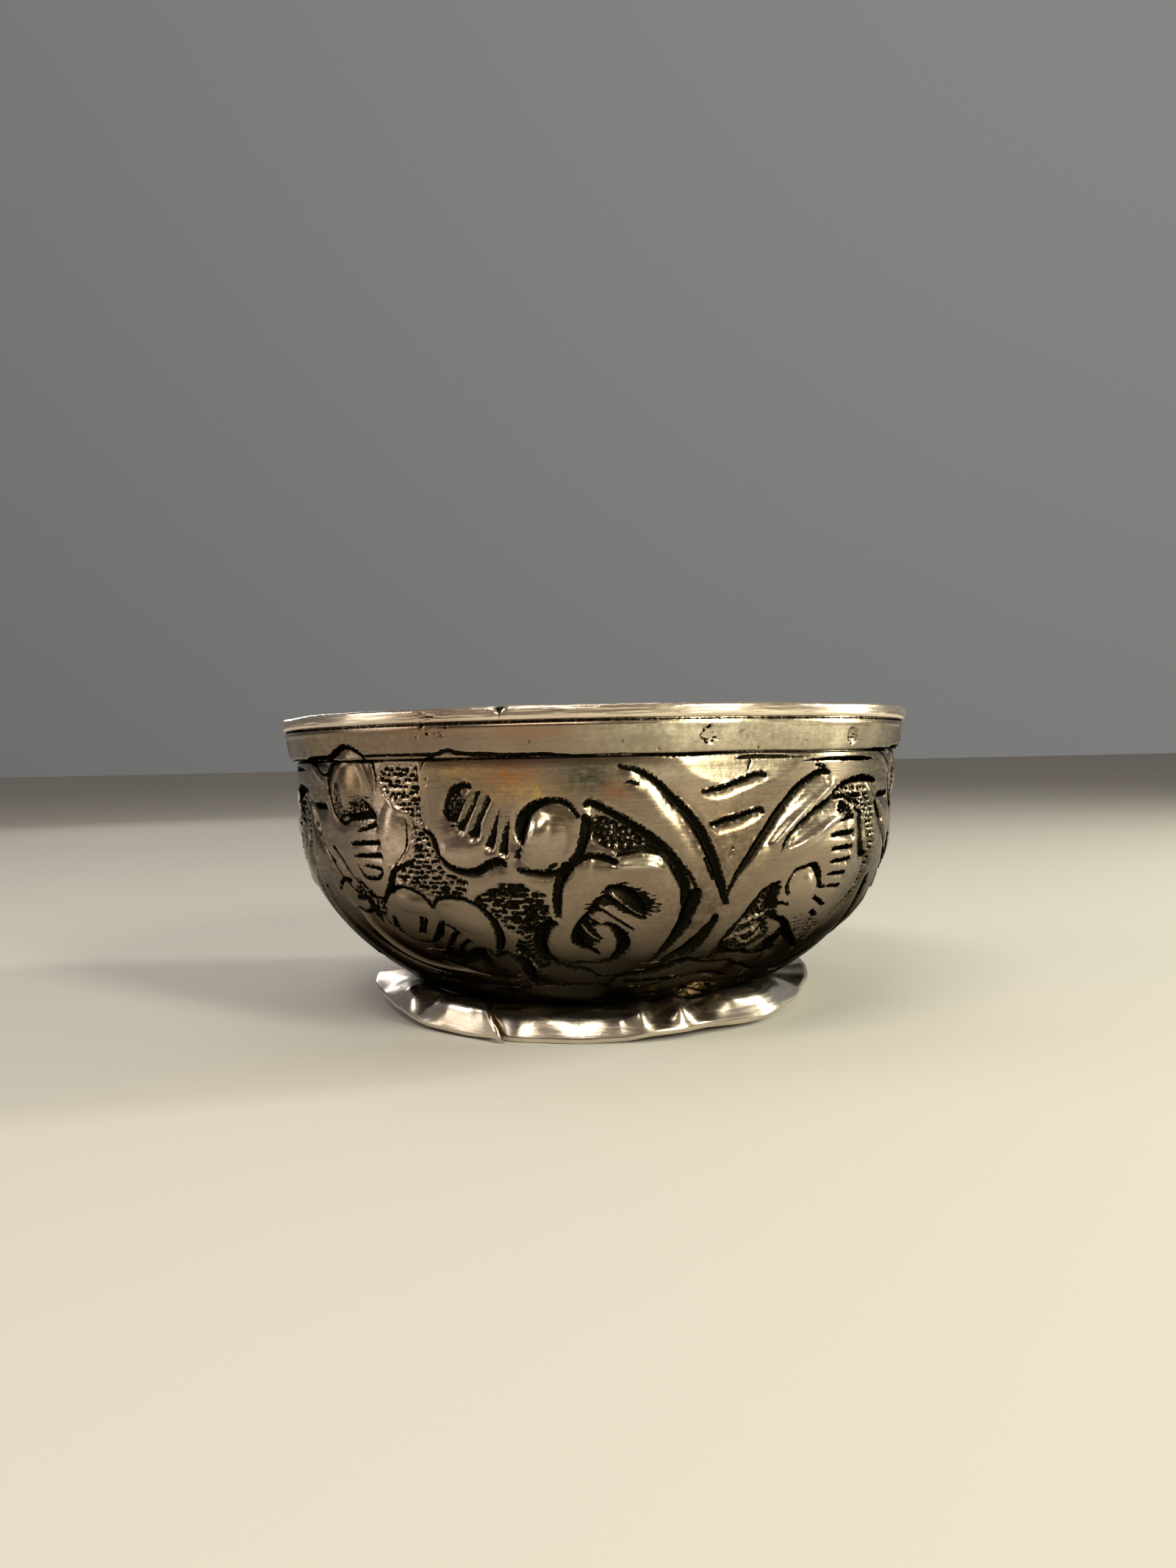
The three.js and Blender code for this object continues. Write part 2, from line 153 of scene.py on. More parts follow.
def addFloor():
    count = paper["points"]
    along = np.linspace(-paper["reach"], paper["reach"], count)
    points = [(x, y, 0) for y in along for x in along]
    starts = [row * count + column for row in range(count - 1) for column in range(count - 1)]
    mesh = bpy.data.meshes.new("floor")
    mesh.from_pydata(points, [], [(a, a + 1, a + 1 + count, a + count) for a in starts])
    floor = bpy.data.objects.new("floor", mesh)
    bpy.context.scene.collection.objects.link(floor)
    material = bpy.data.materials.new("pale paper")
    material.use_nodes = True
    shader = material.node_tree.nodes["Principled BSDF"]
    shader.inputs["Base Color"].default_value = (*paper["colour"], 1)
    shader.inputs["Roughness"].default_value = paper["roughness"]
    mesh.materials.append(material)


# Materials
finishes = {
    "oxidised silver": {
        "colour": (0.335, 0.262, 0.19), "patina": (0.008, 0.007, 0.004), "roughness": 0.25,
        "brush": 0.35, "fray": 1.6, "alongBrush": 0.4,
    },
    "drawn wire silver": {
        "colour": (0.95, 0.82, 0.66), "patina": (0.03, 0.025, 0.015), "roughness": 0.22,
        "brush": 0.3, "fray": 0.8, "alongBrush": 0.5,
    },
    "bright strip silver": {
        "colour": (0.8, 0.73, 0.63), "patina": (0.02, 0.015, 0.009), "roughness": 0.2,
        "brush": 0.2, "fray": 0.6, "alongBrush": 0.3,
    },
    "dull solder": {
        "colour": (0.36, 0.34, 0.30), "patina": (0.04, 0.035, 0.028), "roughness": 0.5,
        "brush": 0.1, "fray": 0.6, "alongBrush": 0.0,
    },
}
# What the four finishes share. Brush lines and scratches are drawn out round the bowl.
surface = {
    "drift": {"scale": 260, "detail": 5},
    "driftShade": 0.78,
    "speckle": {"scale": 5200, "detail": 3},
    "brushLines": {"scale": 100, "detail": 5, "stretch": (3, 3, 55), "roughness": 0.65},
    "brushDepth": 0.03,
    "scratches": {"scale": 120, "detail": 3, "stretch": (4, 4, 90), "roughness": 0.7},
    "scratchEdge": (0.62, 0.74),
    "scratchPatina": 0.55,
    "fray": {"scale": 4600, "detail": 5, "roughness": 0.7},
    "patinaEdge": (0.42, 0.56),
    "crust": {"scale": 4200, "detail": 4},
    "crustDepth": 0.05,
    "coatGleam": (0.1, 0.09, 0.07),
}


def silverMaterial(name):
    look = finishes[name]
    material = bpy.data.materials.new(name)
    material.use_nodes = True
    nodes, links = material.node_tree.nodes, material.node_tree.links
    shader = nodes["Principled BSDF"]
    place = nodes.new("ShaderNodeTexCoord").outputs["Object"]

    def noise(scale, detail, stretch=(1, 1, 1), roughness=0.5):
        mapping = nodes.new("ShaderNodeMapping")
        mapping.inputs["Scale"].default_value = stretch
        links.new(place, mapping.inputs["Vector"])
        texture = nodes.new("ShaderNodeTexNoise")
        texture.inputs["Scale"].default_value = scale
        texture.inputs["Detail"].default_value = detail
        texture.inputs["Roughness"].default_value = roughness
        links.new(mapping.outputs[0], texture.inputs["Vector"])
        return texture.outputs["Fac"]

    def attribute(title, output="Fac"):
        node = nodes.new("ShaderNodeAttribute")
        node.attribute_name = title
        return node.outputs[output]

    def ranged(value, fromLow, fromHigh, toLow, toHigh):
        node = nodes.new("ShaderNodeMapRange")
        links.new(value, node.inputs["Value"])
        for i, number in enumerate((fromLow, fromHigh, toLow, toHigh), 1):
            node.inputs[i].default_value = number
        return node.outputs[0]

    def maths(kind, a, b):
        node = nodes.new("ShaderNodeMath")
        node.operation = kind
        for i, value in enumerate((a, b)):
            if isinstance(value, (int, float)):
                node.inputs[i].default_value = value
            else:
                links.new(value, node.inputs[i])
        return node.outputs[0]

    def mix(share, a, b):
        node = nodes.new("ShaderNodeMix")
        node.data_type = "RGBA"
        links.new(share, node.inputs["Factor"])
        for socket, value in ((node.inputs[6], a), (node.inputs[7], b)):
            if isinstance(value, tuple):
                socket.default_value = (*value, 1)
            else:
                links.new(value, socket)
        return node.outputs[2]

    def bump(height, depth):
        node = nodes.new("ShaderNodeBump")
        node.inputs["Distance"].default_value = depth * mm
        links.new(height, node.inputs["Height"])
        return node

    shadeAndGrimeShare = attribute("shadeAndGrime")
    brushed = noise(**surface["brushLines"])
    shade = tuple(surface["driftShade"] * c for c in look["colour"])
    plain = mix(ranged(noise(**surface["drift"]), 0.35, 0.7, 0, 1), look["colour"], shade)
    # Tarnish colours, broken up into speckles
    speckle = ranged(noise(**surface["speckle"]), 0.38, 0.62, 0.85, 1.3)
    tinted = mix(maths("MULTIPLY", attribute("tint", "Alpha"), speckle), plain, attribute("tint", "Color"))
    # Patina has a frayed edge, and lies in fine scratches along the brush lines
    fray = maths("MULTIPLY", maths("SUBTRACT", noise(**surface["fray"]), 0.5), look["fray"] * 2)
    edge = maths("MULTIPLY", attribute("patina"), maths("ADD", fray, 1.0))
    scratches = ranged(noise(**surface["scratches"]), *surface["scratchEdge"], 0, surface["scratchPatina"])
    dark = maths("MAXIMUM", ranged(edge, *surface["patinaEdge"], 0, 1), scratches)
    # The painted shade low on the belly, and grime in the grooves, draw the colour towards patina
    links.new(mix(dark, mix(shadeAndGrimeShare, tinted, look["patina"]), look["patina"]), shader.inputs["Base Color"])
    shader.inputs["Metallic"].default_value = 1
    # Patina, grime and the painted shade don't gleam at the bowl's outline
    coated = maths("MAXIMUM", dark, shadeAndGrimeShare)
    links.new(mix(coated, (1, 1, 1), surface["coatGleam"]), shader.inputs["Specular Tint"])
    # The shine is drawn out one way, as brushed metal's is
    shader.inputs["Anisotropic"].default_value = look["alongBrush"]
    shader.inputs["Anisotropic Rotation"].default_value = 0.25
    ring = nodes.new("ShaderNodeTangent")
    ring.direction_type = "RADIAL"
    ring.axis = "Z"
    links.new(ring.outputs[0], shader.inputs["Tangent"])
    rough = ranged(brushed, 0.3, 0.7, look["roughness"] - 0.05, look["roughness"] + 0.09)
    for coat, added in ((dark, 0.12), (shadeAndGrimeShare, 0.08)):
        rough = maths("ADD", rough, maths("MULTIPLY", coat, added))
    links.new(rough, shader.inputs["Roughness"])
    # Brush lines, then grain that is strongest in the patina
    lines = bump(brushed, surface["brushDepth"])
    lines.inputs["Strength"].default_value = look["brush"]
    crust = bump(noise(**surface["crust"]), surface["crustDepth"])
    links.new(ranged(dark, 0, 1, 0.12, 0.9), crust.inputs["Strength"])
    links.new(lines.outputs[0], crust.inputs["Normal"])
    links.new(crust.outputs[0], shader.inputs["Normal"])
    return material


# Meshes from closed loops of points. Coats are the amounts of patina, tint, and painted shade with grime at
# each point.
def skin(name, loops, coats, material, replaced, capped=False):
    count, around, _ = loops.shape
    points = loops.reshape(-1, 3) * mm
    index = np.arange(count * around).reshape(count, around)
    reach = count - 1 if capped else count
    a = index[:reach]
    b = index[(np.arange(reach) + 1) % count]
    quads = np.stack([a, np.roll(a, -1, 1), np.roll(b, -1, 1), b], -1).reshape(-1, 4)
    # The way round a loop gives one texture direction, the way from loop to loop the other
    u = np.arange(around + 1) / around
    steps = np.linalg.norm(np.diff(loops, axis=0, append=loops[:1]), axis=2).mean(1)
    v = np.concatenate(([0], np.cumsum(steps[:reach])))
    v = v / v[-1]
    u0, v0 = np.meshgrid(u[:-1], v[:-1])
    u1, v1 = np.meshgrid(u[1:], v[1:])
    quadMap = np.stack([np.stack(p, -1) for p in ((u0, v0), (u1, v0), (u1, v1), (u0, v1))], 2)
    texture = [quadMap.reshape(-1, 2)]
    triangles = np.zeros((0, 3), int)
    if capped:  # a fan of triangles closes each end
        middles = np.stack([loops[0].mean(0), loops[-1].mean(0)]) * mm
        points = np.concatenate([points, middles])
        first, last = count * around, count * around + 1
        low = np.stack([np.roll(index[0], -1), index[0], np.full(around, first)], -1)
        high = np.stack([index[-1], np.roll(index[-1], -1), np.full(around, last)], -1)
        triangles = np.concatenate([low, high])
        for ends, level in (((u[1:], u[:-1], u[:-1]), 0), ((u[:-1], u[1:], u[1:]), 1)):
            fan = np.stack([np.stack([end, end * 0 + level], -1) for end in ends], 1)
            texture.append(fan.reshape(-1, 2))
    corners = np.concatenate([quads.ravel(), triangles.ravel()])
    sizes = np.concatenate([np.full(len(quads), 4), np.full(len(triangles), 3)])
    mesh = bpy.data.meshes.new(name)
    mesh.vertices.add(len(points))
    mesh.vertices.foreach_set("co", points.ravel())
    mesh.loops.add(len(corners))
    mesh.loops.foreach_set("vertex_index", corners.astype(np.int32))
    mesh.polygons.add(len(sizes))
    mesh.polygons.foreach_set("loop_start", (np.cumsum(sizes) - sizes).astype(np.int32))
    mesh.polygons.foreach_set("use_smooth", np.ones(len(sizes), bool))
    mesh.update(calc_edges=True)
    mesh.validate()
    layer = mesh.uv_layers.new(name="OFBake")
    layer.data.foreach_set("uv", np.concatenate(texture).ravel().astype(np.float32))
    for title, values in coats.items():
        amounts = values.reshape(count, around, -1)
        ends = amounts.reshape(count * around, -1)
        if capped:
            ends = np.concatenate([ends, amounts[:1].mean(1), amounts[-1:].mean(1)])
        kind, field = ("FLOAT", "value") if ends.shape[1] == 1 else ("FLOAT_COLOR", "color")
        mesh.attributes.new(title, kind, "POINT").data.foreach_set(field, ends.ravel())
    mesh.materials.append(material)
    piece = bpy.data.objects.new(name, mesh)
    bpy.context.scene.collection.objects.link(piece)
    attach(piece, "root")
    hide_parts(replaced)


def spun(radius, angle, height):
    turn = np.radians(angle)
    return np.stack(np.broadcast_arrays(radius * np.sin(turn), -radius * np.cos(turn), height), -1)


def ringWaves(draw, theta, low, high, count):
    # Waves that close on themselves, with from low to high of them round the bowl
    turns, phases = draw.integers(low, high, count), draw.uniform(0, 6.28, count)
    return sum(np.cos(np.radians(theta) * n + p) for n, p in zip(turns, phases)) / math.sqrt(count)


def coatsFor(dark, colour=(0, 0, 0), strength=0.0):
    tinted = np.zeros((*dark.shape, 4))
    tinted[..., :3] = colour
    tinted[..., 3] = strength
    return {"patina": dark, "tint": tinted}


# The wall's form
form = {
    "height": 23.3,
    "waistRadius": 23.7,
    "waistHeight": 14,
    "rimFlare": 1.2,
    "flarePower": 1.7,
    "baseRadius": 13.9,
    "baseHeight": 2.2,
    "fullness": 1.72,
    "poleDepth": 2.7,  # how far below the base the belly's curve would come level
    "thickness": 0.9,
    "wireHeight": 1.0,
}


def bellyCurve(share):
    return (1 - share ** form["fullness"]) ** (1 / form["fullness"])


def wallRadius(height):
    waist = form["waistHeight"]
    up = np.clip((height - waist) / (form["height"] - waist), 0, 1)
    poleDrop = waist - form["baseHeight"] + form["poleDepth"]
    run = (form["waistRadius"] - form["baseRadius"]) / (1 - bellyCurve(1 - form["poleDepth"] / poleDrop))
    down = np.clip((waist - height) / poleDrop, 0, 1)
    flared = form["waistRadius"] + form["rimFlare"] * up ** form["flarePower"]
    return np.where(height >= waist, flared, form["waistRadius"] - run * (1 - bellyCurve(down)))


wallHeights = np.linspace(form["height"], form["baseHeight"], 4000)
wallRadii = wallRadius(wallHeights)
wallDrops = np.concatenate(([0], np.cumsum(np.hypot(np.diff(wallHeights), np.diff(wallRadii)))))
wallLength = wallDrops[-1]


def wallAt(drop, step=0.05):
    # Radius and height at a drop, and how far the way out of the wall goes outwards and up
    radius, height = (np.interp(drop, wallDrops, values) for values in (wallRadii, wallHeights))
    dr, dz = (np.interp(drop + step, wallDrops, values) - np.interp(drop - step, wallDrops, values)
              for values in (wallRadii, wallHeights))
    length = np.hypot(dr, dz)
    return radius, height, -dz / length, dr / length


# Chasing. A stroke is a row of (angle, drop, width), where a point without a width keeps the last one.
# The strokes fill one third of the belly, and the smith cut them three times round.
chasing = {
    "repeats": 3,
    "margin": 1.5,  # how far past a stroke its marks can reach
    "depthForWidth": 0.36,
    "mostDepth": 0.5,
    "lineDepthForWidth": 0.5,  # the same for the fine lines
    "shoulder": (0.3, 1.25),  # how far a groove pulls the metal down above it and below it
    "shoulderDepth": 0.27,
    "notchShoulder": 0.4,  # share of that round a short hatch
    "fray": (0.42, 0.1),  # how far patina runs out above a groove and below it
    "softDepth": 0.26,
    "steepness": {"ridge": 0.36, "swell": 0.2},
    "grime": 0.86,  # soot in a groove
    "raisedStreaks": 30,
}

lineStrokes = [
    [(-66, 3.3, 0.3), (-58, 3.3), (-56, 3.15), (-50, 3.1), (-48, 3.0), (-46, 2.8, 0.2)],
    [(-40, 3.05, 0.12), (-34, 3.0, 0.15), (-24.5, 3.0, 0.2), (-23.5, 2.85, 0.25), (-22, 2.8),
     (-20.5, 3.0), (-14, 3.15, 0.28), (-8, 3.2, 0.3), (-4, 3.3, 0.2), (-1, 3.35, 0.15), (4, 3.25, 0.1),
     (7, 3.35, 0.15), (12, 3.4, 0.2), (14.5, 3.4, 0.1)],
    [(11, 3.5, 0.1), (15, 3.5, 0.15), (19, 3.45, 0.12), (24, 3.47, 0.03)],
    [(22.5, 3.85, 0.05), (24, 3.75, 0.2), (26, 3.7, 0.25), (30, 3.72, 0.2), (34, 3.74, 0.12),
     (38.5, 3.78, 0.03)],
    [(33.5, 4.05, 0.03), (36, 4.0, 0.1), (40, 3.93, 0.18), (44, 3.93, 0.25), (52, 3.95, 0.3),
     (57.5, 4.0, 0.05)],
    [(24, 3.3, 0.03), (36, 3.3, 0.06), (52, 3.3, 0.15), (66, 3.35, 0.25)],
    [(-34, 6, 0.03), (-32.3, 7, 0.07), (-31.8, 8.4, 0.1), (-32.8, 9.6), (-35.2, 10.4, 0.06)],
    [(-60, 3.4, 0.15), (-57, 3.7), (-55, 4.1), (-53.5, 4.35), (-52, 4.3)],
    [(-28, 3.9, 0.12), (-27.5, 3.5), (-26.5, 3.3), (-24.8, 3.2)],
    [(-10, 1.55, 0.04), (-5, 1.5, 0.08), (4, 1.5, 0.06), (8, 1.5, 0.02)],
    [(25.3, 4.0, 0.2), (25, 4.3, 0.16), (24.8, 4.6, 0.06)],
]

veeStrokes = [
    [(3.9, 4.2, 0.15), (4.5, 4.3), (5.5, 4.35), (6.2, 4.45, 0.25), (7, 4.6, 0.35), (8, 4.85, 0.5),
     (9, 5.1), (10.5, 5.7, 0.45), (12, 6.35, 0.6), (14, 7.15), (16, 8.2, 0.7), (17, 8.9, 0.75),
     (17.8, 9.6), (18.6, 10.3, 0.7), (19.3, 11, 0.65), (20, 11.7, 0.6), (20.7, 12.3, 0.5),
     (21.3, 13, 0.4), (21.9, 13.5, 0.3)],
    [(10.5, 5.75, 0.1), (11.1, 5.85)],
    [(4.4, 5.15, 0.06), (5.5, 5.2, 0.1), (6.5, 5.3), (7.3, 5.25, 0.03)],
    [(17.3, 10.3, 0.15), (18, 11), (18.8, 11.6)],
    [(41.8, 4.95, 0.1), (40.5, 4.9, 0.5), (39, 5.05, 0.7), (37.5, 5.3, 0.8), (36, 5.6, 0.85),
     (34.5, 6.0, 0.9), (33, 6.5), (31.5, 7.1), (30, 7.7), (28.8, 8.35, 0.85), (27.3, 9.05, 0.8),
     (26, 9.75), (25, 10.3, 0.7), (24, 10.9, 0.6), (23, 11.5, 0.45), (22.4, 12.1, 0.35), (22, 12.6, 0.2),
     (21.9, 12.9, 0.08)],
    [(38.5, 4.35, 0.1), (40.5, 4.5)],
    [(20.5, 14.5, 0.3), (20.7, 15, 0.6), (20.2, 15.5, 1.0), (19.9, 16, 1.2), (19.5, 16.5, 1.5),
     (19, 17, 1.8), (18.2, 17.6, 2.0), (17, 18.2), (15.5, 18.6, 1.7), (14, 19, 1.3), (12, 19.6, 1.0),
     (7, 20.2, 0.6), (0, 20.4, 0.3)],
]

scrollStrokes = [
    [(-1.5, 6.6, 0.2), (-0.8, 6.5, 0.45), (0, 6.6, 0.5), (2.5, 7.15), (4, 7.5, 0.55), (5.5, 7.9, 0.6),
     (7, 8.3), (8.5, 8.75, 0.65), (10, 9.3, 0.75), (11.5, 10, 0.85), (12.5, 10.6, 0.9), (13.5, 11.4),
     (14.3, 12.2, 0.75), (14.5, 13.3, 0.55), (14.8, 13.8, 0.3)],
    [(14, 10.8, 0.15), (15, 11.4), (15.8, 12), (16.3, 12.5)],
    [(16.1, 12.7, 1.1), (16, 13.3, 1.3), (15.6, 14), (15.4, 14.7, 1.2), (15.2, 15.3, 1.35),
     (14.6, 16, 1.2), (13.9, 16.6, 1.05), (13.1, 17.2, 0.9), (12.2, 17.8, 0.7), (11.2, 18.4, 0.3)],
    [(-1.5, 7.4, 0.45), (-1.3, 8, 0.9), (-2, 9, 0.65), (-2.7, 9.7, 0.6), (-3.6, 10.2, 0.5),
     (-4.6, 10.6, 0.6), (-5.5, 10.9, 0.8)],
    [(-3.4, 10.35, 0.3), (-2, 10, 0.35), (-1, 9.85), (0, 9.9, 0.5), (1, 9.95, 0.55), (2, 10.1, 0.5),
     (3, 10.35, 0.4), (3.3, 10.5, 0.15)],
    [(3.5, 9.75, 0.2), (5, 9.65, 0.3), (6.5, 9.5, 0.4), (8, 9.5, 0.45), (9.5, 9.6, 0.5), (10.5, 9.8)],
    [(-12, 10.75, 0.25), (-11, 10.8, 0.4), (-9.5, 10.9, 0.45), (-8, 10.95, 0.5), (-6, 10.9)],
    [(-7, 10.5, 0.1), (-6.2, 10.35)],
    [(-4.5, 10.6, 1.0), (-5.3, 11.2, 0.9), (-6, 11.8, 0.75), (-6.3, 12.5, 0.65), (-6.5, 13.2),
     (-6.5, 14.1, 0.4)],
    [(-7.9, 14.8, 0.9), (-9.2, 15.3, 1.2), (-10.2, 16.0), (-10.7, 16.9, 1.1), (-10.4, 17.9),
     (-8.6, 18.8, 1.2), (-5.5, 19.5), (-2.5, 19.9, 1.0), (-0.4, 20.2, 0.4)],
    [(2, 12.1, 0.5), (3.5, 12.1, 0.8), (5, 12.5, 0.9), (6.3, 13.1, 0.8), (7.3, 13.8, 0.6),
     (7.7, 14.4, 0.3)],
    [(1.2, 12.7, 0.5), (2.3, 12.95), (3.8, 13.3, 0.3), (5.2, 13.9, 0.4), (6.5, 14.2, 0.3),
     (7.3, 14.4, 0.2)],
    [(1.0, 13.65, 0.3), (3.8, 14.55, 0.25), (6.4, 15.35, 0.06)],
    [(-0.6, 14.5, 0.35), (1, 14.9, 0.3), (2.6, 15.0, 0.1)],
    [(-2.2, 15.6, 0.35), (-0.8, 16.1, 0.25), (0.4, 16.4, 0.06)],
    [(-0.3, 13.3, 0.4), (-1.1, 13.9, 0.55), (-2.3, 14.6, 0.8), (-3.2, 15.4, 0.9), (-3.7, 16.2),
     (-3.3, 16.9, 0.8), (-1.5, 17.3, 0.45), (0.3, 17.55, 0.06)],
    [(-3.5, 16.7, 0.35), (-2.5, 17), (-1.2, 17.1), (-0.3, 17.3, 0.2), (0.4, 17.5, 0.05)],
    [(-1.6, 15.0, 0.3), (-0.4, 14.9, 0.45), (1, 14.85, 0.5), (2.4, 15.05, 0.65), (3.7, 15.7, 0.9),
     (4.6, 16.5, 1.0), (4.5, 17.4), (3.4, 18.2), (1.2, 18.8, 0.9), (-1.2, 18.85, 0.7),
     (-3.5, 18.6, 0.35)],
    [(-1.8, 14.9, 0.15), (-0.8, 15.4), (0, 15.9), (0.5, 16.05)],
    [(-1.5, 15.3, 0.12), (-0.3, 15.8)],
    [(3.8, 15.3, 0.1), (5, 15.6)],
]

upperPaisleyStrokes = [
    [(-11.45, 8.85, 0.4), (-11.6, 8.5, 0.75), (-11.5, 8, 1.0), (-11.1, 7.4, 0.95), (-10.3, 6.9, 0.75),
     (-9.1, 6.55, 0.6), (-8, 6.4, 0.45), (-6.8, 6.3, 0.3), (-5.5, 6.3), (-4.3, 6.5), (-3.3, 6.9, 0.25),
     (-2.7, 7.3, 0.15)],
    [(-11.9, 9.3, 0.1), (-12.2, 9.75, 0.45)],
    [(-28, 8.2, 0.4), (-27, 8.5, 0.5), (-26.3, 9.3), (-25.7, 9.9), (-25.3, 10, 0.4), (-24.5, 10.4, 0.5),
     (-23, 10.75, 0.55), (-21, 10.9), (-19, 10.85, 0.6), (-17.5, 10.5), (-16, 10.2, 0.65),
     (-15, 10.2, 0.6), (-14.4, 10.4, 0.3)],
    [(-19.7, 5.35, 0.15), (-20.1, 5.25, 0.3), (-21.3, 5.25, 0.35), (-22.4, 5.5), (-23.3, 5.95, 0.3),
     (-23.8, 6.5), (-24, 7), (-23.6, 7.4)],
    [(-35.5, 11, 0.15), (-34, 10.7, 0.28), (-32, 10.4, 0.22), (-30.8, 10.2, 0.08)],
]

leafStrokes = [
    [(-51.9, 5.8, 0.2), (-51.9, 4.6, 0.3), (-50, 3.6), (-47.7, 3.0), (-43.8, 2.5, 0.25), (-40.6, 2.9),
     (-38.8, 3.7, 0.2), (-37.7, 4.9, 0.1)],
    [(-51.9, 5.8, 0.2), (-50.8, 6.9, 0.25), (-49.3, 7.5), (-47, 7.8, 0.2), (-45, 7.5, 0.1)],
    [(-45, 7.3, 0.3), (-39.2, 6.95)],
    [(-51.3, 9.6, 0.25), (-50.2, 10.1, 0.45), (-48.5, 10.9, 0.6), (-46.6, 12, 0.4), (-45.1, 13.3, 0.3),
     (-43.6, 14.4), (-41.8, 15.3, 0.2)],
    [(-61.7, 7.2, 0.12), (-58.5, 8.4, 0.3), (-55.2, 9.5, 0.35), (-52.5, 10.9), (-49.4, 12.3),
     (-46.4, 13.4, 0.3), (-43.8, 15.2, 0.15)],
    [(-43.5, 13.2, 0.4), (-40, 13.2)],
    [(-50, 14.1, 0.2), (-48.5, 14.4, 0.3), (-47.5, 14.55), (-45.5, 14.3)],
    [(-48, 13.4, 0.3), (-46, 13.4)],
    [(-53, 12.7, 0.2), (-52, 12.3), (-51, 12), (-49.5, 11.9), (-48.5, 12)],
    [(-59.5, 12.8, 0.3), (-57.2, 14.4, 0.6), (-55.4, 16, 0.9), (-53, 17.6, 1.2), (-49.5, 19.2, 1.4),
     (-45, 20.4, 1.3), (-41, 21.4, 1.0), (-37, 22.2, 0.6)],
]

lowerPaisleyStrokes = [
    [(-34.5, 10.6, 0.15), (-36, 11.5, 0.36), (-37.3, 12.3, 0.32), (-38.3, 12.7, 0.25),
     (-39.2, 13.1, 0.12), (-41.5, 13.8)],
    [(-37, 12.5, 0.15), (-35.8, 12.2, 0.25), (-34.5, 12.05), (-33, 12.1), (-31.5, 12.4), (-30.3, 12.7),
     (-29.5, 13.1), (-29, 13.5, 0.3)],
    [(-28.4, 13.3, 0.15), (-27.8, 12.95, 0.2), (-26.8, 12.85, 0.25), (-25.5, 12.8, 0.3),
     (-24, 12.85, 0.35), (-22.5, 12.95, 0.4), (-21.5, 13.2, 0.45), (-20.5, 13.5, 0.5), (-19.6, 13.9, 0.6),
     (-18.8, 14.4, 0.65), (-18.2, 15, 0.75), (-18, 15.6), (-18.1, 16.3, 0.7), (-18.6, 17, 0.55),
     (-19.3, 17.6, 0.25)],
    [(-39.3, 14.6, 0.15), (-39.8, 15.1, 0.25), (-40.2, 15.6, 0.3), (-39.8, 16.1), (-38.8, 16.5, 0.35),
     (-37.5, 16.8), (-36, 17, 0.4), (-34.5, 17.05, 0.45), (-33, 16.85, 0.4), (-31.5, 16.4, 0.45),
     (-30.5, 16, 0.5), (-29.5, 15.4, 0.4), (-28.7, 15, 0.35), (-28.2, 14.85, 0.25)],
    [(-28.5, 14.9, 0.2), (-27, 15.2), (-26, 15.7)],
    [(-20.6, 18.0, 0.3), (-22.5, 17.4, 0.6), (-24.5, 18.4, 0.8), (-26, 18.8, 0.3)],
    [(-19, 18.0, 0.5), (-17.7, 17.9, 0.9), (-16.5, 18.2, 1.0), (-15.4, 18.9, 1.1), (-14.9, 19.7),
     (-14.9, 20.6, 0.9), (-15.1, 21.4, 0.4)],
]

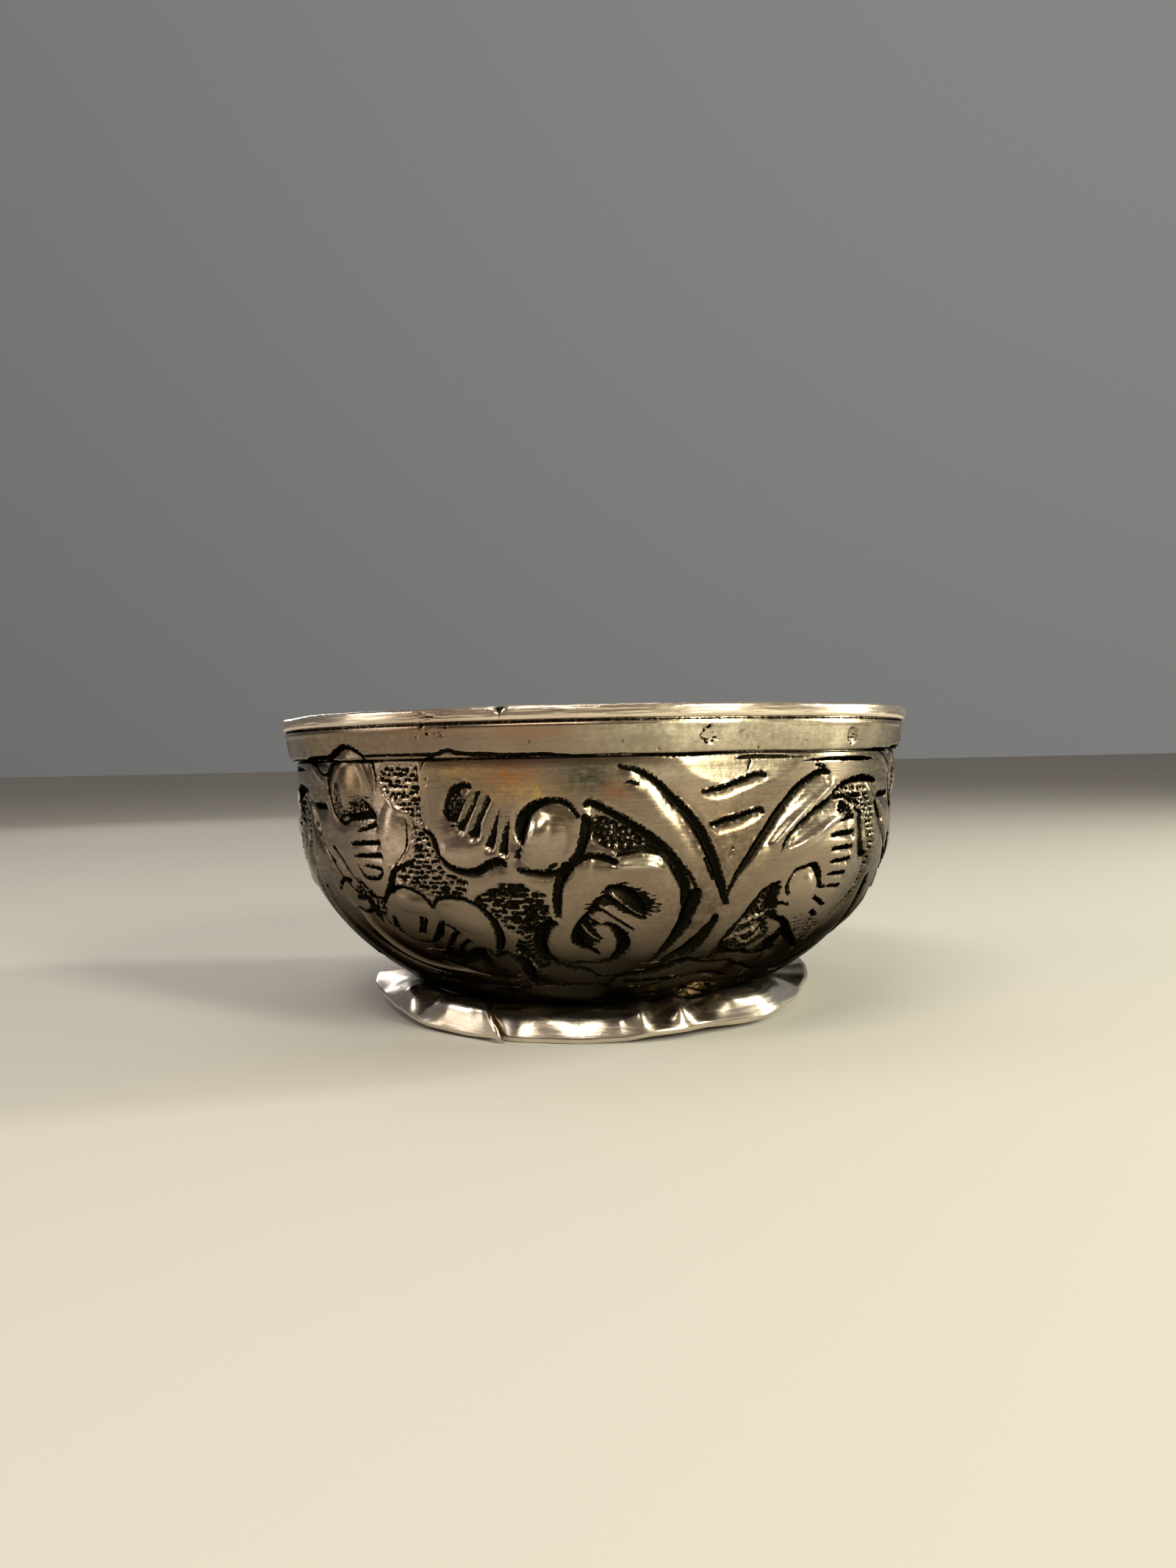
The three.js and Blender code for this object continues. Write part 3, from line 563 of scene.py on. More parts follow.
sideStrokes = [
    [(31.4, 12.5, 0.8), (29.8, 12.9, 1.0), (28.7, 13.6), (27.8, 14.3), (26.9, 15, 0.9), (26, 15.7),
     (25.3, 16.5, 0.85), (25, 17.3, 0.8), (25.3, 18, 0.7), (27.5, 18.4, 0.6), (31, 18.6)],
    [(31.5, 12.4, 0.6), (32, 13, 0.8), (32, 13.7, 0.95), (32.3, 14.3), (33, 14.9, 0.8), (34, 15.3, 0.65),
     (35.5, 15.5), (37, 15.8, 0.55), (38.3, 16.2, 0.6), (39.5, 16.8, 0.9), (41, 17.3, 0.9),
     (42.5, 17.7, 0.8), (44, 18.1), (46, 18.6, 0.5), (48, 19.1, 0.4)],
    [(28.5, 15.6, 0.3), (30, 15.4), (31.5, 15.6, 0.35), (32.1, 16.1), (31.9, 16.7, 0.3),
     (31.3, 17.2, 0.25), (30.3, 17.5, 0.1)],
    [(28, 14.7, 0.12), (29.3, 14.5), (30.5, 14.9), (32, 14.8)],
    [(34.6, 13.3, 0.06), (34, 12.7, 0.25), (34.1, 12.2, 0.3), (34.6, 11.7), (35.6, 11.4), (37, 11.3),
     (38.5, 11.2, 0.35), (39.8, 11.4, 0.4), (40.8, 11.9), (41.6, 12.5, 0.3), (42.3, 12.9, 0.2),
     (43.5, 13, 0.1)],
    [(33.5, 14.1, 0.35), (34.5, 14, 0.2), (36, 14.2, 0.04)],
    [(31, 10, 0.05), (32, 9.4, 0.2), (33, 9, 0.45), (34.5, 8.5, 0.6), (36, 8.1, 0.75), (37.5, 7.8),
     (39, 7.4, 0.7), (41, 7.1), (42.5, 6.8, 0.6), (44, 6.3), (46, 5.9, 0.65), (50, 5.6), (54, 5.5, 0.5),
     (58, 5.7, 0.2)],
    [(44, 6.7, 0.2), (46.5, 6.6), (48.7, 7)],
    [(45.5, 7.1, 0.35), (46.5, 7.3), (47.7, 7.8), (48.5, 7.8)],
    [(52.5, 8, 0.5), (52.8, 9), (52.8, 9.7), (53.3, 10.3), (54, 10.8), (55, 11)],
    [(42, 13.8, 0.2), (44, 14.2), (46, 14.6)],
    [(43.5, 15.1, 0.3), (45.6, 15.6)],
    [(61, 6.7, 0.4), (66, 6.7)],
    [(24.8, 18.5, 0.15), (29, 18.7, 0.3), (33.3, 18.85), (38.9, 18.9, 0.2)],
    [(29.7, 19.8, 0.3), (33.8, 20.5, 0.9), (38.4, 21.2, 0.3)],
    [(19.2, 19.3, 0.3), (25, 19.4, 0.25), (29, 19.5, 0.3)],
    [(35, 17.4, 0.3), (37, 17.9, 1.0), (38.5, 18.6, 0.6)],
]

# Short hatches and bars, wider at the end where the chisel went in
hatches = [
    [(16.8, 5.9, 0.1), (18, 5.85, 0.3), (20, 5.75, 0.4), (22, 5.5), (24, 5.25), (26, 5.0, 0.35),
     (27.5, 4.95, 0.25), (28, 5, 0.1)],
    [(18.2, 8.0, 0.15), (19.5, 7.95, 0.45), (21, 7.8, 0.5), (23, 7.65), (25, 7.4, 0.45), (26.7, 7.2, 0.3),
     (27.3, 7.35, 0.15)],
    [(-20.2, 5.95, 0.06), (-21.7, 6.9, 0.2), (-22.9, 7.4, 0.4)],
    [(-18.2, 5.75, 0.15), (-19.2, 6.6, 0.17), (-20.3, 7.4, 0.2), (-21.5, 7.9, 0.42)],
    [(-16.5, 6.1, 0.25), (-17.4, 6.8), (-18.3, 7.6), (-19, 8.2, 0.5), (-19.5, 8.4, 0.4)],
    [(-14.75, 6.6, 0.04), (-15.4, 7.6, 0.15), (-16, 8.4, 0.36), (-16.7, 9, 0.5)],
    [(-13.2, 7.2, 0.04), (-13.6, 7.8, 0.15), (-14.1, 8.6, 0.4), (-14.5, 9.4, 0.55)],
    [(-44.6, 7.5, 0.1), (-38.8, 7.2, 0.35)],
    [(-43.5, 8.3, 0.05), (-41, 8.1, 0.15), (-38.4, 7.8, 0.3)],
    [(-45, 9.2, 0.1), (-37.5, 9.0, 0.28)],
    [(-44.6, 10, 0.06), (-37.2, 9.9, 0.26)],
    [(-42.4, 10.6, 0.06), (-39.5, 10.7, 0.12), (-37.7, 10.9), (-38.6, 11.4), (-40.1, 11.55, 0.18),
     (-42.6, 11.5), (-43.8, 10.7, 0.08)],
    [(-32.4, 14.5, 0.15), (-33, 15), (-33.8, 15.5), (-34.5, 15.8)],
    [(-31.5, 14.6, 0.12), (-33.5, 15.8)],
    [(-26, 15.7, 0.35), (-27.5, 16.2), (-29, 16.9, 0.25), (-30.5, 17.5), (-31.8, 18, 0.2),
     (-32.5, 18.3, 0.08)],
    [(-24.5, 16.5, 0.3), (-26, 16.9, 0.25), (-27.5, 17.5, 0.2), (-29, 18.1), (-30, 18.5, 0.06)],
    [(-24, 17.5, 0.5), (-26, 18.2), (-27.5, 18.8, 0.35), (-28.5, 19.2, 0.15)],
    [(49, 6.6, 0.15), (52.5, 6.65)],
    [(49.5, 7, 0.12), (52, 7.2)],
    [(50, 7.5, 0.12), (53, 8)],
    [(44, 8.3, 0.05), (49.5, 8.1, 0.22)],
    [(43, 9.25, 0.12), (49.5, 9.15, 0.38)],
    [(43, 10.2, 0.1), (49.2, 10.2, 0.36)],
    [(43.2, 11.1, 0.08), (48.8, 11.1, 0.34)],
    [(43.2, 12, 0.06), (48.2, 12.1, 0.3)],
    [(43.5, 12.9, 0.05), (48, 13.1, 0.22)],
]

baseStrokes = [
    [(-16, 22.1, 0.5), (-11, 22.0, 0.9), (-5.8, 21.9, 1.0), (-2, 21.8, 0.8), (1, 21.6, 0.4)],
    [(-12, 23.6, 0.2), (-8, 24.4, 0.3), (-1, 24.8, 0.3), (6, 24.5, 0.2)],
    [(2, 22.3, 0.1), (11, 22.3, 0.3), (18, 21.3, 0.4), (25, 20.8, 0.3), (30.7, 21.5, 0.2)],
    [(4, 20.8, 0.5), (10, 20.6, 0.9), (14, 20.1, 1.0), (18, 19.4, 0.8), (22.3, 18.8, 0.3)],
    [(6, 21.4, 0.15), (12, 21.4, 0.3), (17.8, 21.0, 0.2)],
    [(9, 23.6, 0.15), (18.7, 23.2, 0.25), (23.5, 22.5, 0.5), (27, 22.6, 0.5), (30, 23.4, 0.3)],
    [(21.6, 23.1, 0.4), (25, 23.8, 0.9), (31, 24.6, 0.5)],
    [(-46, 21.6, 0.2), (-38, 22.3, 0.3), (-28, 22.6, 0.3), (-20, 22.9, 0.15)],
    [(-50, 23.2, 0.2), (-40, 23.8, 0.3), (-30, 24.2, 0.3), (-22, 24.4, 0.15)],
    [(-30, 21.7, 0.1), (-25, 21.9, 0.25), (-19, 21.8, 0.1)],
    [(36, 22.4, 0.1), (44, 21.6, 0.3), (52, 20.4, 0.3), (58, 19.2, 0.2)],
    [(40, 24, 0.1), (48, 23.2, 0.3), (56, 22.2, 0.3)],
]

# Wide shallow troughs that keep little patina
softStrokes = [
    [(-40.5, 2.9, 0.5), (-39.5, 3.5), (-38.7, 4.2), (-38.5, 4.8), (-38.6, 5.3)],
    [(-43.5, 5.9, 0.9), (-41.5, 6.5, 1.3), (-39.5, 6.9, 0.9)],
    [(-58.5, 3.5, 0.7), (-54, 3.6, 0.8), (-50.5, 3.9, 0.6)],
    [(-43.5, 11, 0.4), (-41, 11.5)],
    [(-32.5, 7.1, 0.6), (-31.3, 7.6, 0.9), (-31.2, 8.5), (-32.5, 9.5), (-34, 10.2), (-35.8, 10.4, 0.6)],
    [(-28.4, 5.0, 0.5), (-28.2, 6.0), (-28, 7.8)],
    [(-62, 6.2, 1.0), (-60, 6.6), (-58.5, 7.3), (-57.5, 8.2), (-57, 8.9), (-55.5, 9.4), (-54, 9.9),
     (-52.5, 10.5)],
    [(-34, 18.9, 0.5), (-28, 20.2, 0.6), (-22, 20.6, 0.5), (-17, 20.3, 0.3)],
    [(40, 15.1, 0.5), (43, 15.6), (46, 16.2)],
    [(55, 8.6, 0.8), (57, 11, 0.9), (56, 14, 0.8), (52, 16.6, 0.6)],
]

# Raised bright ridges
ridges = [
    [(-59, 3.6, 0.3), (-55, 4.6), (-52.6, 4.9)],
    [(-42.8, 3.3, 0.22), (-41, 4.1), (-39.6, 5.0, 0.12)],
    [(-62, 6.4, 0.2), (-58.5, 8.2, 0.5), (-55, 9.4), (-52.3, 10.3, 0.4)],
    [(-50.3, 6.2, 0.25), (-50.3, 5, 0.4), (-47.4, 3.7, 0.5), (-43.8, 3.2), (-41, 3.8), (-39.4, 5.0, 0.4),
     (-38.6, 6, 0.2)],
    [(2.1, 12.3, 0.36), (5, 13.4, 0.32), (7.8, 14.3, 0.12)],
    [(0.5, 13.2, 0.38), (3.3, 14.1, 0.28), (6.2, 15.0, 0.08)],
    [(-1.3, 14.1, 0.38), (0.6, 14.55, 0.28), (2.3, 14.75, 0.08)],
    [(-2.6, 15.1, 0.4), (-1.1, 15.7, 0.3), (0.2, 16.0, 0.08)],
    [(-37.5, 4.6, 0.35), (-36.5, 5.5), (-35, 6.2, 0.3), (-32.6, 6.9, 0.08)],
    [(-29.8, 7.2, 0.15), (-27.5, 8)],
    [(-23.5, 7.75, 0.14), (-22.5, 8.15), (-21.3, 8.3), (-20.3, 8.55), (-19, 8.8), (-17, 9.35),
     (-14.5, 9.75)],
    [(-52.5, 12.4, 0.3), (-50.5, 13.6, 0.5), (-48.7, 14.7, 0.65), (-46.9, 16.1), (-44.5, 17.4, 0.7),
     (-40, 18.9, 0.6), (-35, 19.6, 0.5), (-31, 19.9, 0.4), (-25, 20.5, 0.2)],
    [(-50, 17.4, 0.2), (-46, 18.7, 0.4), (-41, 19.9, 0.35), (-36, 20.7, 0.15)],
    [(43, 5.5, 0.5), (38, 6.65, 0.9), (33, 8.1, 1.0), (29.5, 9.4, 0.6)],
    [(-15.4, 17.5, 0.2), (-13.7, 18.3), (-13.0, 19.4)],
    [(27.1, 15.7, 0.3), (29, 15.05, 0.55), (31.5, 14.85, 0.5), (33.2, 14.6, 0.2)],
    [(25.2, 17.3, 0.3), (27, 16.6, 0.5), (29.6, 16.15, 0.55), (31.9, 15.8, 0.3)],
    [(27.8, 16.9, 0.3), (29.8, 17.4, 0.5), (31.8, 17, 0.45), (32.5, 16.3, 0.3)],
    [(48.3, 7.7, 0.3), (44, 8.0, 0.7), (40, 8.6, 0.8), (36, 9.3, 0.6), (33, 9.8, 0.3)],
]

# Wide low swells with a broad shine
swells = [
    [(2.8, 10.6, 0.6), (4.5, 10.4, 0.9), (6.5, 10.35), (8.5, 10.4), (10.3, 10.7, 0.6)],
]

# Raised bodies, and one sunk one: (angle, drop, half width, half height, turn, rise)
lobes = [
    (-8.2, 8.6, 1.5, 1.85, 35, 0.4),
    (-9.4, 8.1, 1.0, 1.3, 40, 0.24),
    (-21.5, 9.3, 2.2, 0.95, -12, 0.16),
    (6.5, 10.6, 1.8, 0.5, 0, 0.06),
    (-33, 13.3, 1.9, 0.8, 8, 0.26),
    (-24.5, 14.4, 2.2, 0.95, 32, 0.26),
    (38.3, 12.9, 1.5, 1.15, -20, 0.3),
    (-45.5, 5.1, 1.9, 1.6, 75, 0.3),
    (-35, 8.1, 1.3, 2.4, 14, 0.34),
    (37, 9.5, 2.4, 0.7, -25, 0.2),
    (2.8, 9.75, 0.28, 0.28, 0, 0.2),
    (30.2, 16.4, 0.4, 0.55, 0, 0.16),
    (-7, 23.3, 2.6, 0.95, 0, 0.26),
    (24, 14.2, 0.7, 0.5, 0, 0.1),
    (24, 3.4, 4.6, 2.1, 0, -0.36),
]

# Punched grounds: corners as (angle, drop), and what isn't as in most of them
mostGrounds = {
    "pitch": (0.5, 0.4),  # from mark to mark, across and down
    "stray": (0.16, 0.12),  # how far marks stray from that, in shares of the pitch
    "punch": (0.19, 0.13),  # half the width and half the height of a mark
    "sizes": (0.75, 1.25),
    "corner": 2.6,  # 2 is oval, and more is squarer
    "depth": 0.18,
    "sink": 0.14,  # how far the ground lies below the leaves
    "softness": 0.3,  # over how many mm it goes down
    "gloom": 0.34,  # patina between the marks
    # The patina in a mark is partly painted shade, darkest at its top
    "darkest": 1.3,  # patina in them
    "shadeLift": 1.2,  # how much lighter a mark is at its foot
    "raised": False,  # whether the marks stand up and the metal between them is cut away
}
grounds = [
    {"corners": [(-37.5, 4.4), (-36, 3.7), (-29.2, 3.8), (-28.8, 5.2), (-28.6, 7.6), (-30.6, 7.4),
                 (-34, 6.1), (-36.5, 5.6)],
     "pitch": (0.5, 0.38), "punch": (0.24, 0.17), "gloom": 0.2, "shadeLift": 1},
    {"corners": [(-31, 7.5), (-28.3, 8.2), (-26.8, 9.6), (-25.2, 10.9), (-21, 11.6), (-22.5, 12.6),
                 (-28.6, 12.5), (-33.5, 11.6), (-35.4, 11.4), (-33.2, 10.4), (-30.6, 9.4)],
     "pitch": (0.52, 0.38), "punch": (0.25, 0.17), "sink": 0.18, "gloom": 0.26, "shadeLift": 1},
    {"corners": [(-20.9, 12.8), (-15.7, 11.6), (-11.9, 11.6), (-8.2, 12.4), (-7.8, 14.2), (-9.5, 15.1),
                 (-10.7, 16.2), (-10.7, 18), (-9, 19.2), (-13.5, 19.6), (-14.4, 18.3), (-15.8, 17.4),
                 (-14.1, 15.8), (-16.3, 15.3), (-18.2, 14.0), (-20.3, 13.1)],
     "pitch": (0.72, 0.45), "punch": (0.34, 0.21), "sink": 0.16, "shadeLift": 0.7},
    {"corners": [(-0.4, 7.1), (2, 7.35), (5, 8.05), (8, 8.85), (9.8, 9.6), (6.5, 9.3), (3.2, 9.3), (1, 9.1),
                 (-0.4, 8.7)],
     "pitch": (0.44, 0.4), "punch": (0.18, 0.16), "sink": 0.3, "raised": True},
    {"corners": [(44.5, 5.9), (50, 5.7), (55, 6), (58, 7.5), (58.5, 11), (57, 14), (53, 16.2), (51, 15.6),
                 (55, 13.4), (56.4, 10.8), (55, 8.4), (51, 6.9), (46.5, 6.3)],
     "sink": 0.12},
    {"corners": [(25.2, 17.8), (27, 15.4), (29.6, 13.2), (31.6, 12.7), (32, 14.2), (33.4, 15.6), (35, 16.9),
                 (31, 18.3)],
     "sink": 0.2, "gloom": 0.52, "shadeLift": 0.4},
    {"corners": [(-47.5, 11.8), (-45, 11.6), (-42, 12.6), (-40.5, 14.0), (-43, 15), (-47.5, 13.4)],
     "punch": (0.2, 0.16)},
    {"corners": [(38, 15.2), (46, 15.9), (50, 16.6), (49, 18.2), (43, 17.3)]},
]

# Dark patches with frayed edges: (angle, drop, half width, half height, turn, strength)
smudges = [
    (5.6, 12.9, 1.75, 1.0, 24, 1.3), (0.8, 13.0, 1.1, 0.5, -28, 1.1), (-2.0, 16.2, 0.6, 0.85, 20, 1.2),
    (-22.3, 6.5, 0.5, 1.4, 12, 0.66), (-42.0, 6.7, 1.6, 0.9, 0, 0.6), (-48.9, 5.9, 0.7, 1.5, 0, 0.52),
    (-46.5, 7.1, 0.9, 0.4, 0, 0.6), (-27, 18.2, 1.3, 0.6, 20, 0.8), (37, 17.2, 0.9, 0.7, 20, 0.9),
    (-14.6, 12.2, 1.0, 0.45, 0, 0.8), (-11.3, 14.4, 0.5, 1.5, 10, 0.8), (-14.4, 17.2, 0.35, 0.9, 0, 0.9),
    (46.6, 7.4, 0.9, 0.4, 0, 0.8),
]

# Dents and pits: (angle, drop, radius, depth)
pits = [
    (17.5, 2.1, 0.74, 0.13), (46.2, 2.28, 0.66, 0.1), (21.85, 9.5, 0.11, 0.08), (21.4, 9.98, 0.1, 0.08),
    (9.5, 2.9, 0.12, 0.1), (26.2, 3.0, 0.14, 0.12), (-27.2, 4.6, 0.14, 0.1), (-27.5, 5.0, 0.16, 0.1),
    (-26.5, 1.35, 0.2, 0.07), (-25.6, 1.6, 0.22, 0.08), (-24.3, 1.5, 0.2, 0.07), (-23.2, 1.7, 0.22, 0.08),
    (-22.4, 1.35, 0.16, 0.06), (-27.6, 1.8, 0.16, 0.06), (-9.5, 2.3, 0.1, 0.06), (4.2, 2.4, 0.1, 0.05),
    (-17, 2.6, 0.08, 0.05), (35, 2.6, 0.1, 0.05),
]

# Tarnish, painted highlights and painted shade: (angle, drop, half width, half height, colour, strength)
# Tint colours: rust, gilt and bloom are tarnish; the pale one is painted highlight, the pink one painted
# warm light, the brown one painted shade
rust, gilt, bloomAndShade = (0.42, 0.16, 0.06), (0.62, 0.42, 0.17), (0.09, 0.09, 0.06)
paintedHighlight, paintedWarmLight, paintedShadeBrown = (0.84, 0.77, 0.58), (0.72, 0.56, 0.45), (0.13, 0.09, 0.055)
tarnishAndPaintedLight = [
    (-13.3, 4.6, 2.0, 1.0, rust, 0.8),
    (-11, 5.6, 2.4, 0.8, gilt, 0.65),
    (-22, 4.1, 2.6, 0.7, gilt, 0.65),
    (-0.8, 4.7, 2.1, 1.05, bloomAndShade, 1.0),
    (3.2, 5.6, 0.9, 0.6, rust, 0.5),
    (-9.5, 1.7, 2.2, 0.5, rust, 0.4),
    (-54, 2.0, 3.5, 0.7, gilt, 0.5),
    (8.5, 2.2, 2.4, 0.8, bloomAndShade, 0.6),
    (-45, 4.7, 1.8, 0.9, gilt, 0.45),
    (-26, 1.6, 2.8, 0.5, rust, 0.35),
    (-31, 5.2, 1.8, 1.2, gilt, 0.3),
    (40, 2.6, 4.0, 0.6, bloomAndShade, 0.25),
    # The pale patches below are painted highlights, on the band, the V's flanks, the bulb and the scroll's
    # top
    (13, 1.7, 4.6, 1.6, paintedHighlight, 0.62),
    (29, 1.5, 4.5, 0.9, paintedHighlight, 0.4),
    (20.6, 1.5, 0.9, 1.8, paintedHighlight, 0.5),
    (32, 1.9, 6.0, 1.8, paintedHighlight, 0.35),
    (42.4, 1.8, 0.9, 1.8, paintedHighlight, 0.55),
    (54.5, 1.9, 1.3, 1.8, paintedHighlight, 0.6),
    (40, 6.1, 1.3, 0.6, paintedHighlight, 0.6),
    (36, 7.1, 1.3, 0.6, paintedHighlight, 0.6),
    (31.5, 8.6, 1.3, 0.7, paintedHighlight, 0.5),
    (44, 8.1, 1.3, 0.5, paintedHighlight, 0.6),
    (38, 9.0, 1.5, 0.5, paintedHighlight, 0.5),
    (27, 4.4, 3.6, 0.8, paintedHighlight, 0.4),
    (9, 4.7, 1.8, 0.5, paintedHighlight, 0.3),
    (-10.2, 7.8, 0.5, 0.8, paintedHighlight, 0.9),
    (-8.6, 7.4, 0.6, 0.3, paintedHighlight, 0.8),
    (7.5, 2.3, 1.6, 0.5, bloomAndShade, 0.4),
    (6.6, 10.25, 1.7, 0.26, paintedHighlight, 0.95),
    # Painted warm light, lightening the leaf and paisley bodies and the bulb
    (-35.5, 8.6, 1.5, 3.0, paintedWarmLight, 0.75),
    (-25, 9.6, 3.0, 0.9, paintedWarmLight, 0.3),
    (-31, 4.2, 1.8, 1.2, paintedWarmLight, 0.35),
    (-8, 8.9, 1.1, 1.3, paintedWarmLight, 0.25),
    # Painted shade in dark brown, on the left of the belly and the band, inside the V and on the scroll
    (-46.5, 4.8, 2.0, 1.7, paintedShadeBrown, 0.6),
    (-57, 2.0, 7.0, 2.2, paintedShadeBrown, 0.55),
    (-36, 2.2, 6.0, 2.0, paintedShadeBrown, 0.35),
    (-61, 8.0, 4.2, 8.0, paintedShadeBrown, 0.9),
    # This dark bloom is painted shade at the far left
    (-63, 9.0, 3.2, 9.0, bloomAndShade, 0.7),
    (22, 8.6, 3.0, 3.0, paintedShadeBrown, 0.8),
    (17.5, 13.6, 2.6, 3.0, paintedShadeBrown, 0.75),
    (1, 13.5, 4.6, 4.0, paintedShadeBrown, 0.3),
]


def smoothStroke(stroke, spans=3):
    # A curve through the stroke's points, with its width
    width = stroke[0][2]
    full = []
    for point in stroke:
        width = point[2] if len(point) > 2 else width
        full.append((point[0], point[1], width))
    if len(full) < 3:
        return np.array(full, float)
    p = np.array([full[0], *full, full[-1]], float)
    t = np.linspace(0, 1, spans, endpoint=False)[:, None]
    course = []
    for a, b, c, d in zip(p[:-3], p[1:-2], p[2:-1], p[3:]):
        course.append(b + 0.5 * t * (c - a + t * (2 * a - 5 * b + 4 * c - d + t * (3 * (b - c) + d - a))))
    return np.concatenate([*course, p[-2:-1]])


# The shell's grid. Zones are (from, to, step), and finest where the photograph shows the belly.
grid = {
    "angleZones": [(-67, -44, 0.26), (-44, 42, 0.19), (42, 67, 0.26), (67, 293, 0.36)],
    "dropZones": [(form["wireHeight"], 3.2, 0.11), (3.2, 20.2, 0.088), (20.2, wallLength, 0.15)],
}


def zoneSteps(zones):
    return np.concatenate([np.arange(start, end - step / 2, step) for start, end, step in zones])


angles, drops = zoneSteps(grid["angleZones"]), zoneSteps(grid["dropZones"])
rowRadius, rowHeight, rowOut, rowUp = wallAt(drops)
shape = (len(drops), len(angles))
relief = {name: np.zeros(shape) for name in ("cut", "trough", "burr", "rise", "patina", "grime", "shadeLifted")}
tint = np.zeros((*shape, 4))


def blurredRound(field, times=1):
    for _ in range(times):
        field = (np.roll(field, 1, 1) + 2 * field + np.roll(field, -1, 1)) / 4
    return field


def blurred(field, times=1):
    for _ in range(times):
        field = blurredRound(field)
        above, below = np.concatenate([field[:1], field[:-1]]), np.concatenate([field[1:], field[-1:]])
        field = (above + 2 * field + below) / 4
    return field


def wobble(seed, waves, slow, fast):
    # Uneven waves over the shell, from slow to fast ones
    draw = np.random.default_rng(seed)
    field = np.zeros(shape)
    for _ in range(waves):
        turns = draw.integers(slow, fast)
        down = draw.uniform(-1, 1) * turns / 20
        phase, size = draw.uniform(0, 2 * math.pi), draw.uniform(0.4, 1)
        field += size * np.cos(np.radians(angles)[None] * turns + drops[:, None] * down + phase)
    return field / math.sqrt(waves)


frayNoise = blurredRound(rng.normal(size=shape), 6)
frayNoise /= frayNoise.std()
mottle = blurred(rng.normal(size=shape), 3)
mottle = np.clip(0.8 + 0.2 * mottle / mottle.std() + 0.14 * frayNoise, 0, 1.6)


def eachRepeat(lowAngle, highAngle, lowDrop, highDrop, margin):
    # In each repeat, the grid's rows and columns near a mark, and their bearings from its middle
    spare = math.degrees(margin / max(wallAt(min(highDrop + margin, wallLength))[0], 10))
    rows = np.nonzero((drops > lowDrop - margin) & (drops < highDrop + margin))[0]
    for i in range(chasing["repeats"]):
        bearings = (angles - 360 / chasing["repeats"] * i + 180) % 360 - 180
        columns = np.nonzero((bearings > lowAngle - spare) & (bearings < highAngle + spare))[0]
        yield rows, columns, bearings[columns]


def eachSpot(angle, drop, margin):
    # In each repeat, the patch of the grid round a spot, with the mm to the right of it and below it
    for rows, columns, bearings in eachRepeat(angle, angle, drop, drop, margin):
        x = np.radians(bearings - angle)[None] * rowRadius[rows][:, None]
        yield np.ix_(rows, columns), x, (drops[rows] - drop)[:, None]


def ovalAway(x, y, wide, high, turn):
    # 0 in the middle of a turned oval and 1 on its edge
    c, s = math.cos(math.radians(turn)), math.sin(math.radians(turn))
    return np.hypot((x * c + y * s) / wide, (y * c - x * s) / high)


def edgeDistance(course, rows, bearings):
    # Distance to a stroke's edge, less than 0 inside it, its width there, and the side, -1 above to 1 below
    radius = rowRadius[rows][:, None]
    edge = np.full((len(rows), len(bearings)), 9.0)
    width, side = np.zeros_like(edge), np.zeros_like(edge)
    for (a0, d0, w0), (a1, d1, w1) in zip(course[:-1], course[1:]):
        x = np.radians(bearings - a0)[None] * radius
        y = (drops[rows] - d0)[:, None]
        bx, by = math.radians(a1 - a0) * radius, d1 - d0
        t = np.clip((x * bx + y * by) / np.maximum(bx * bx + by * by, 1e-9), 0, 1)
        w = w0 + (w1 - w0) * t
        across, down = x - t * bx, y - t * by
        middle = np.hypot(across, down)
        nearer = middle - w / 2 < edge
        edge = np.where(nearer, middle - w / 2, edge)
        width = np.where(nearer, w, width)
        side = np.where(nearer, down / np.maximum(middle, 0.02), side)
    return edge, width, side


def paintMost(name, patch, value):
    relief[name][patch] = np.maximum(relief[name][patch], value)


def cutGroove(patch, edge, width, side, inside, shoulderShare):
    # The tool leaned, so the upper wall is steep and the metal under it slopes away wide and smooth
    below = 0.5 + 0.5 * side
    shoulder, fray = (above + (under - above) * below
                      for above, under in (chasing["shoulder"], chasing["fray"]))
    deep = np.minimum(width * chasing["depthForWidth"], chasing["mostDepth"])
    paintMost("cut", patch, deep * inside ** (0.8 + 0.4 * side))
    shoulder *= np.clip(width / 0.45, 0.3, 1) * shoulderShare
    pulled = chasing["shoulderDepth"] * (0.3 + 0.7 * below) * np.clip(width / 0.5, 0, 1)
    paintMost("trough", patch, pulled * np.clip(1 - np.maximum(edge, 0) / shoulder, 0, 1) ** 2)
    burr = np.exp(-((edge - 0.08) / 0.07) ** 2) * np.minimum(width / 0.4, 1)
    paintMost("burr", patch, burr * (1 - 0.7 * below))
    paintMost("grime", patch, chasing["grime"] * np.clip(3 * inside, 0, 1))
    patina = np.clip(1 - np.maximum(edge + 0.15 * width, 0) / fray, 0, 1) * np.clip(width / 0.12, 0.3, 1)
    paintMost("patina", patch, patina * (1.2 - 0.85 * below * np.clip(1.7 * (1 - inside), 0, 1)))


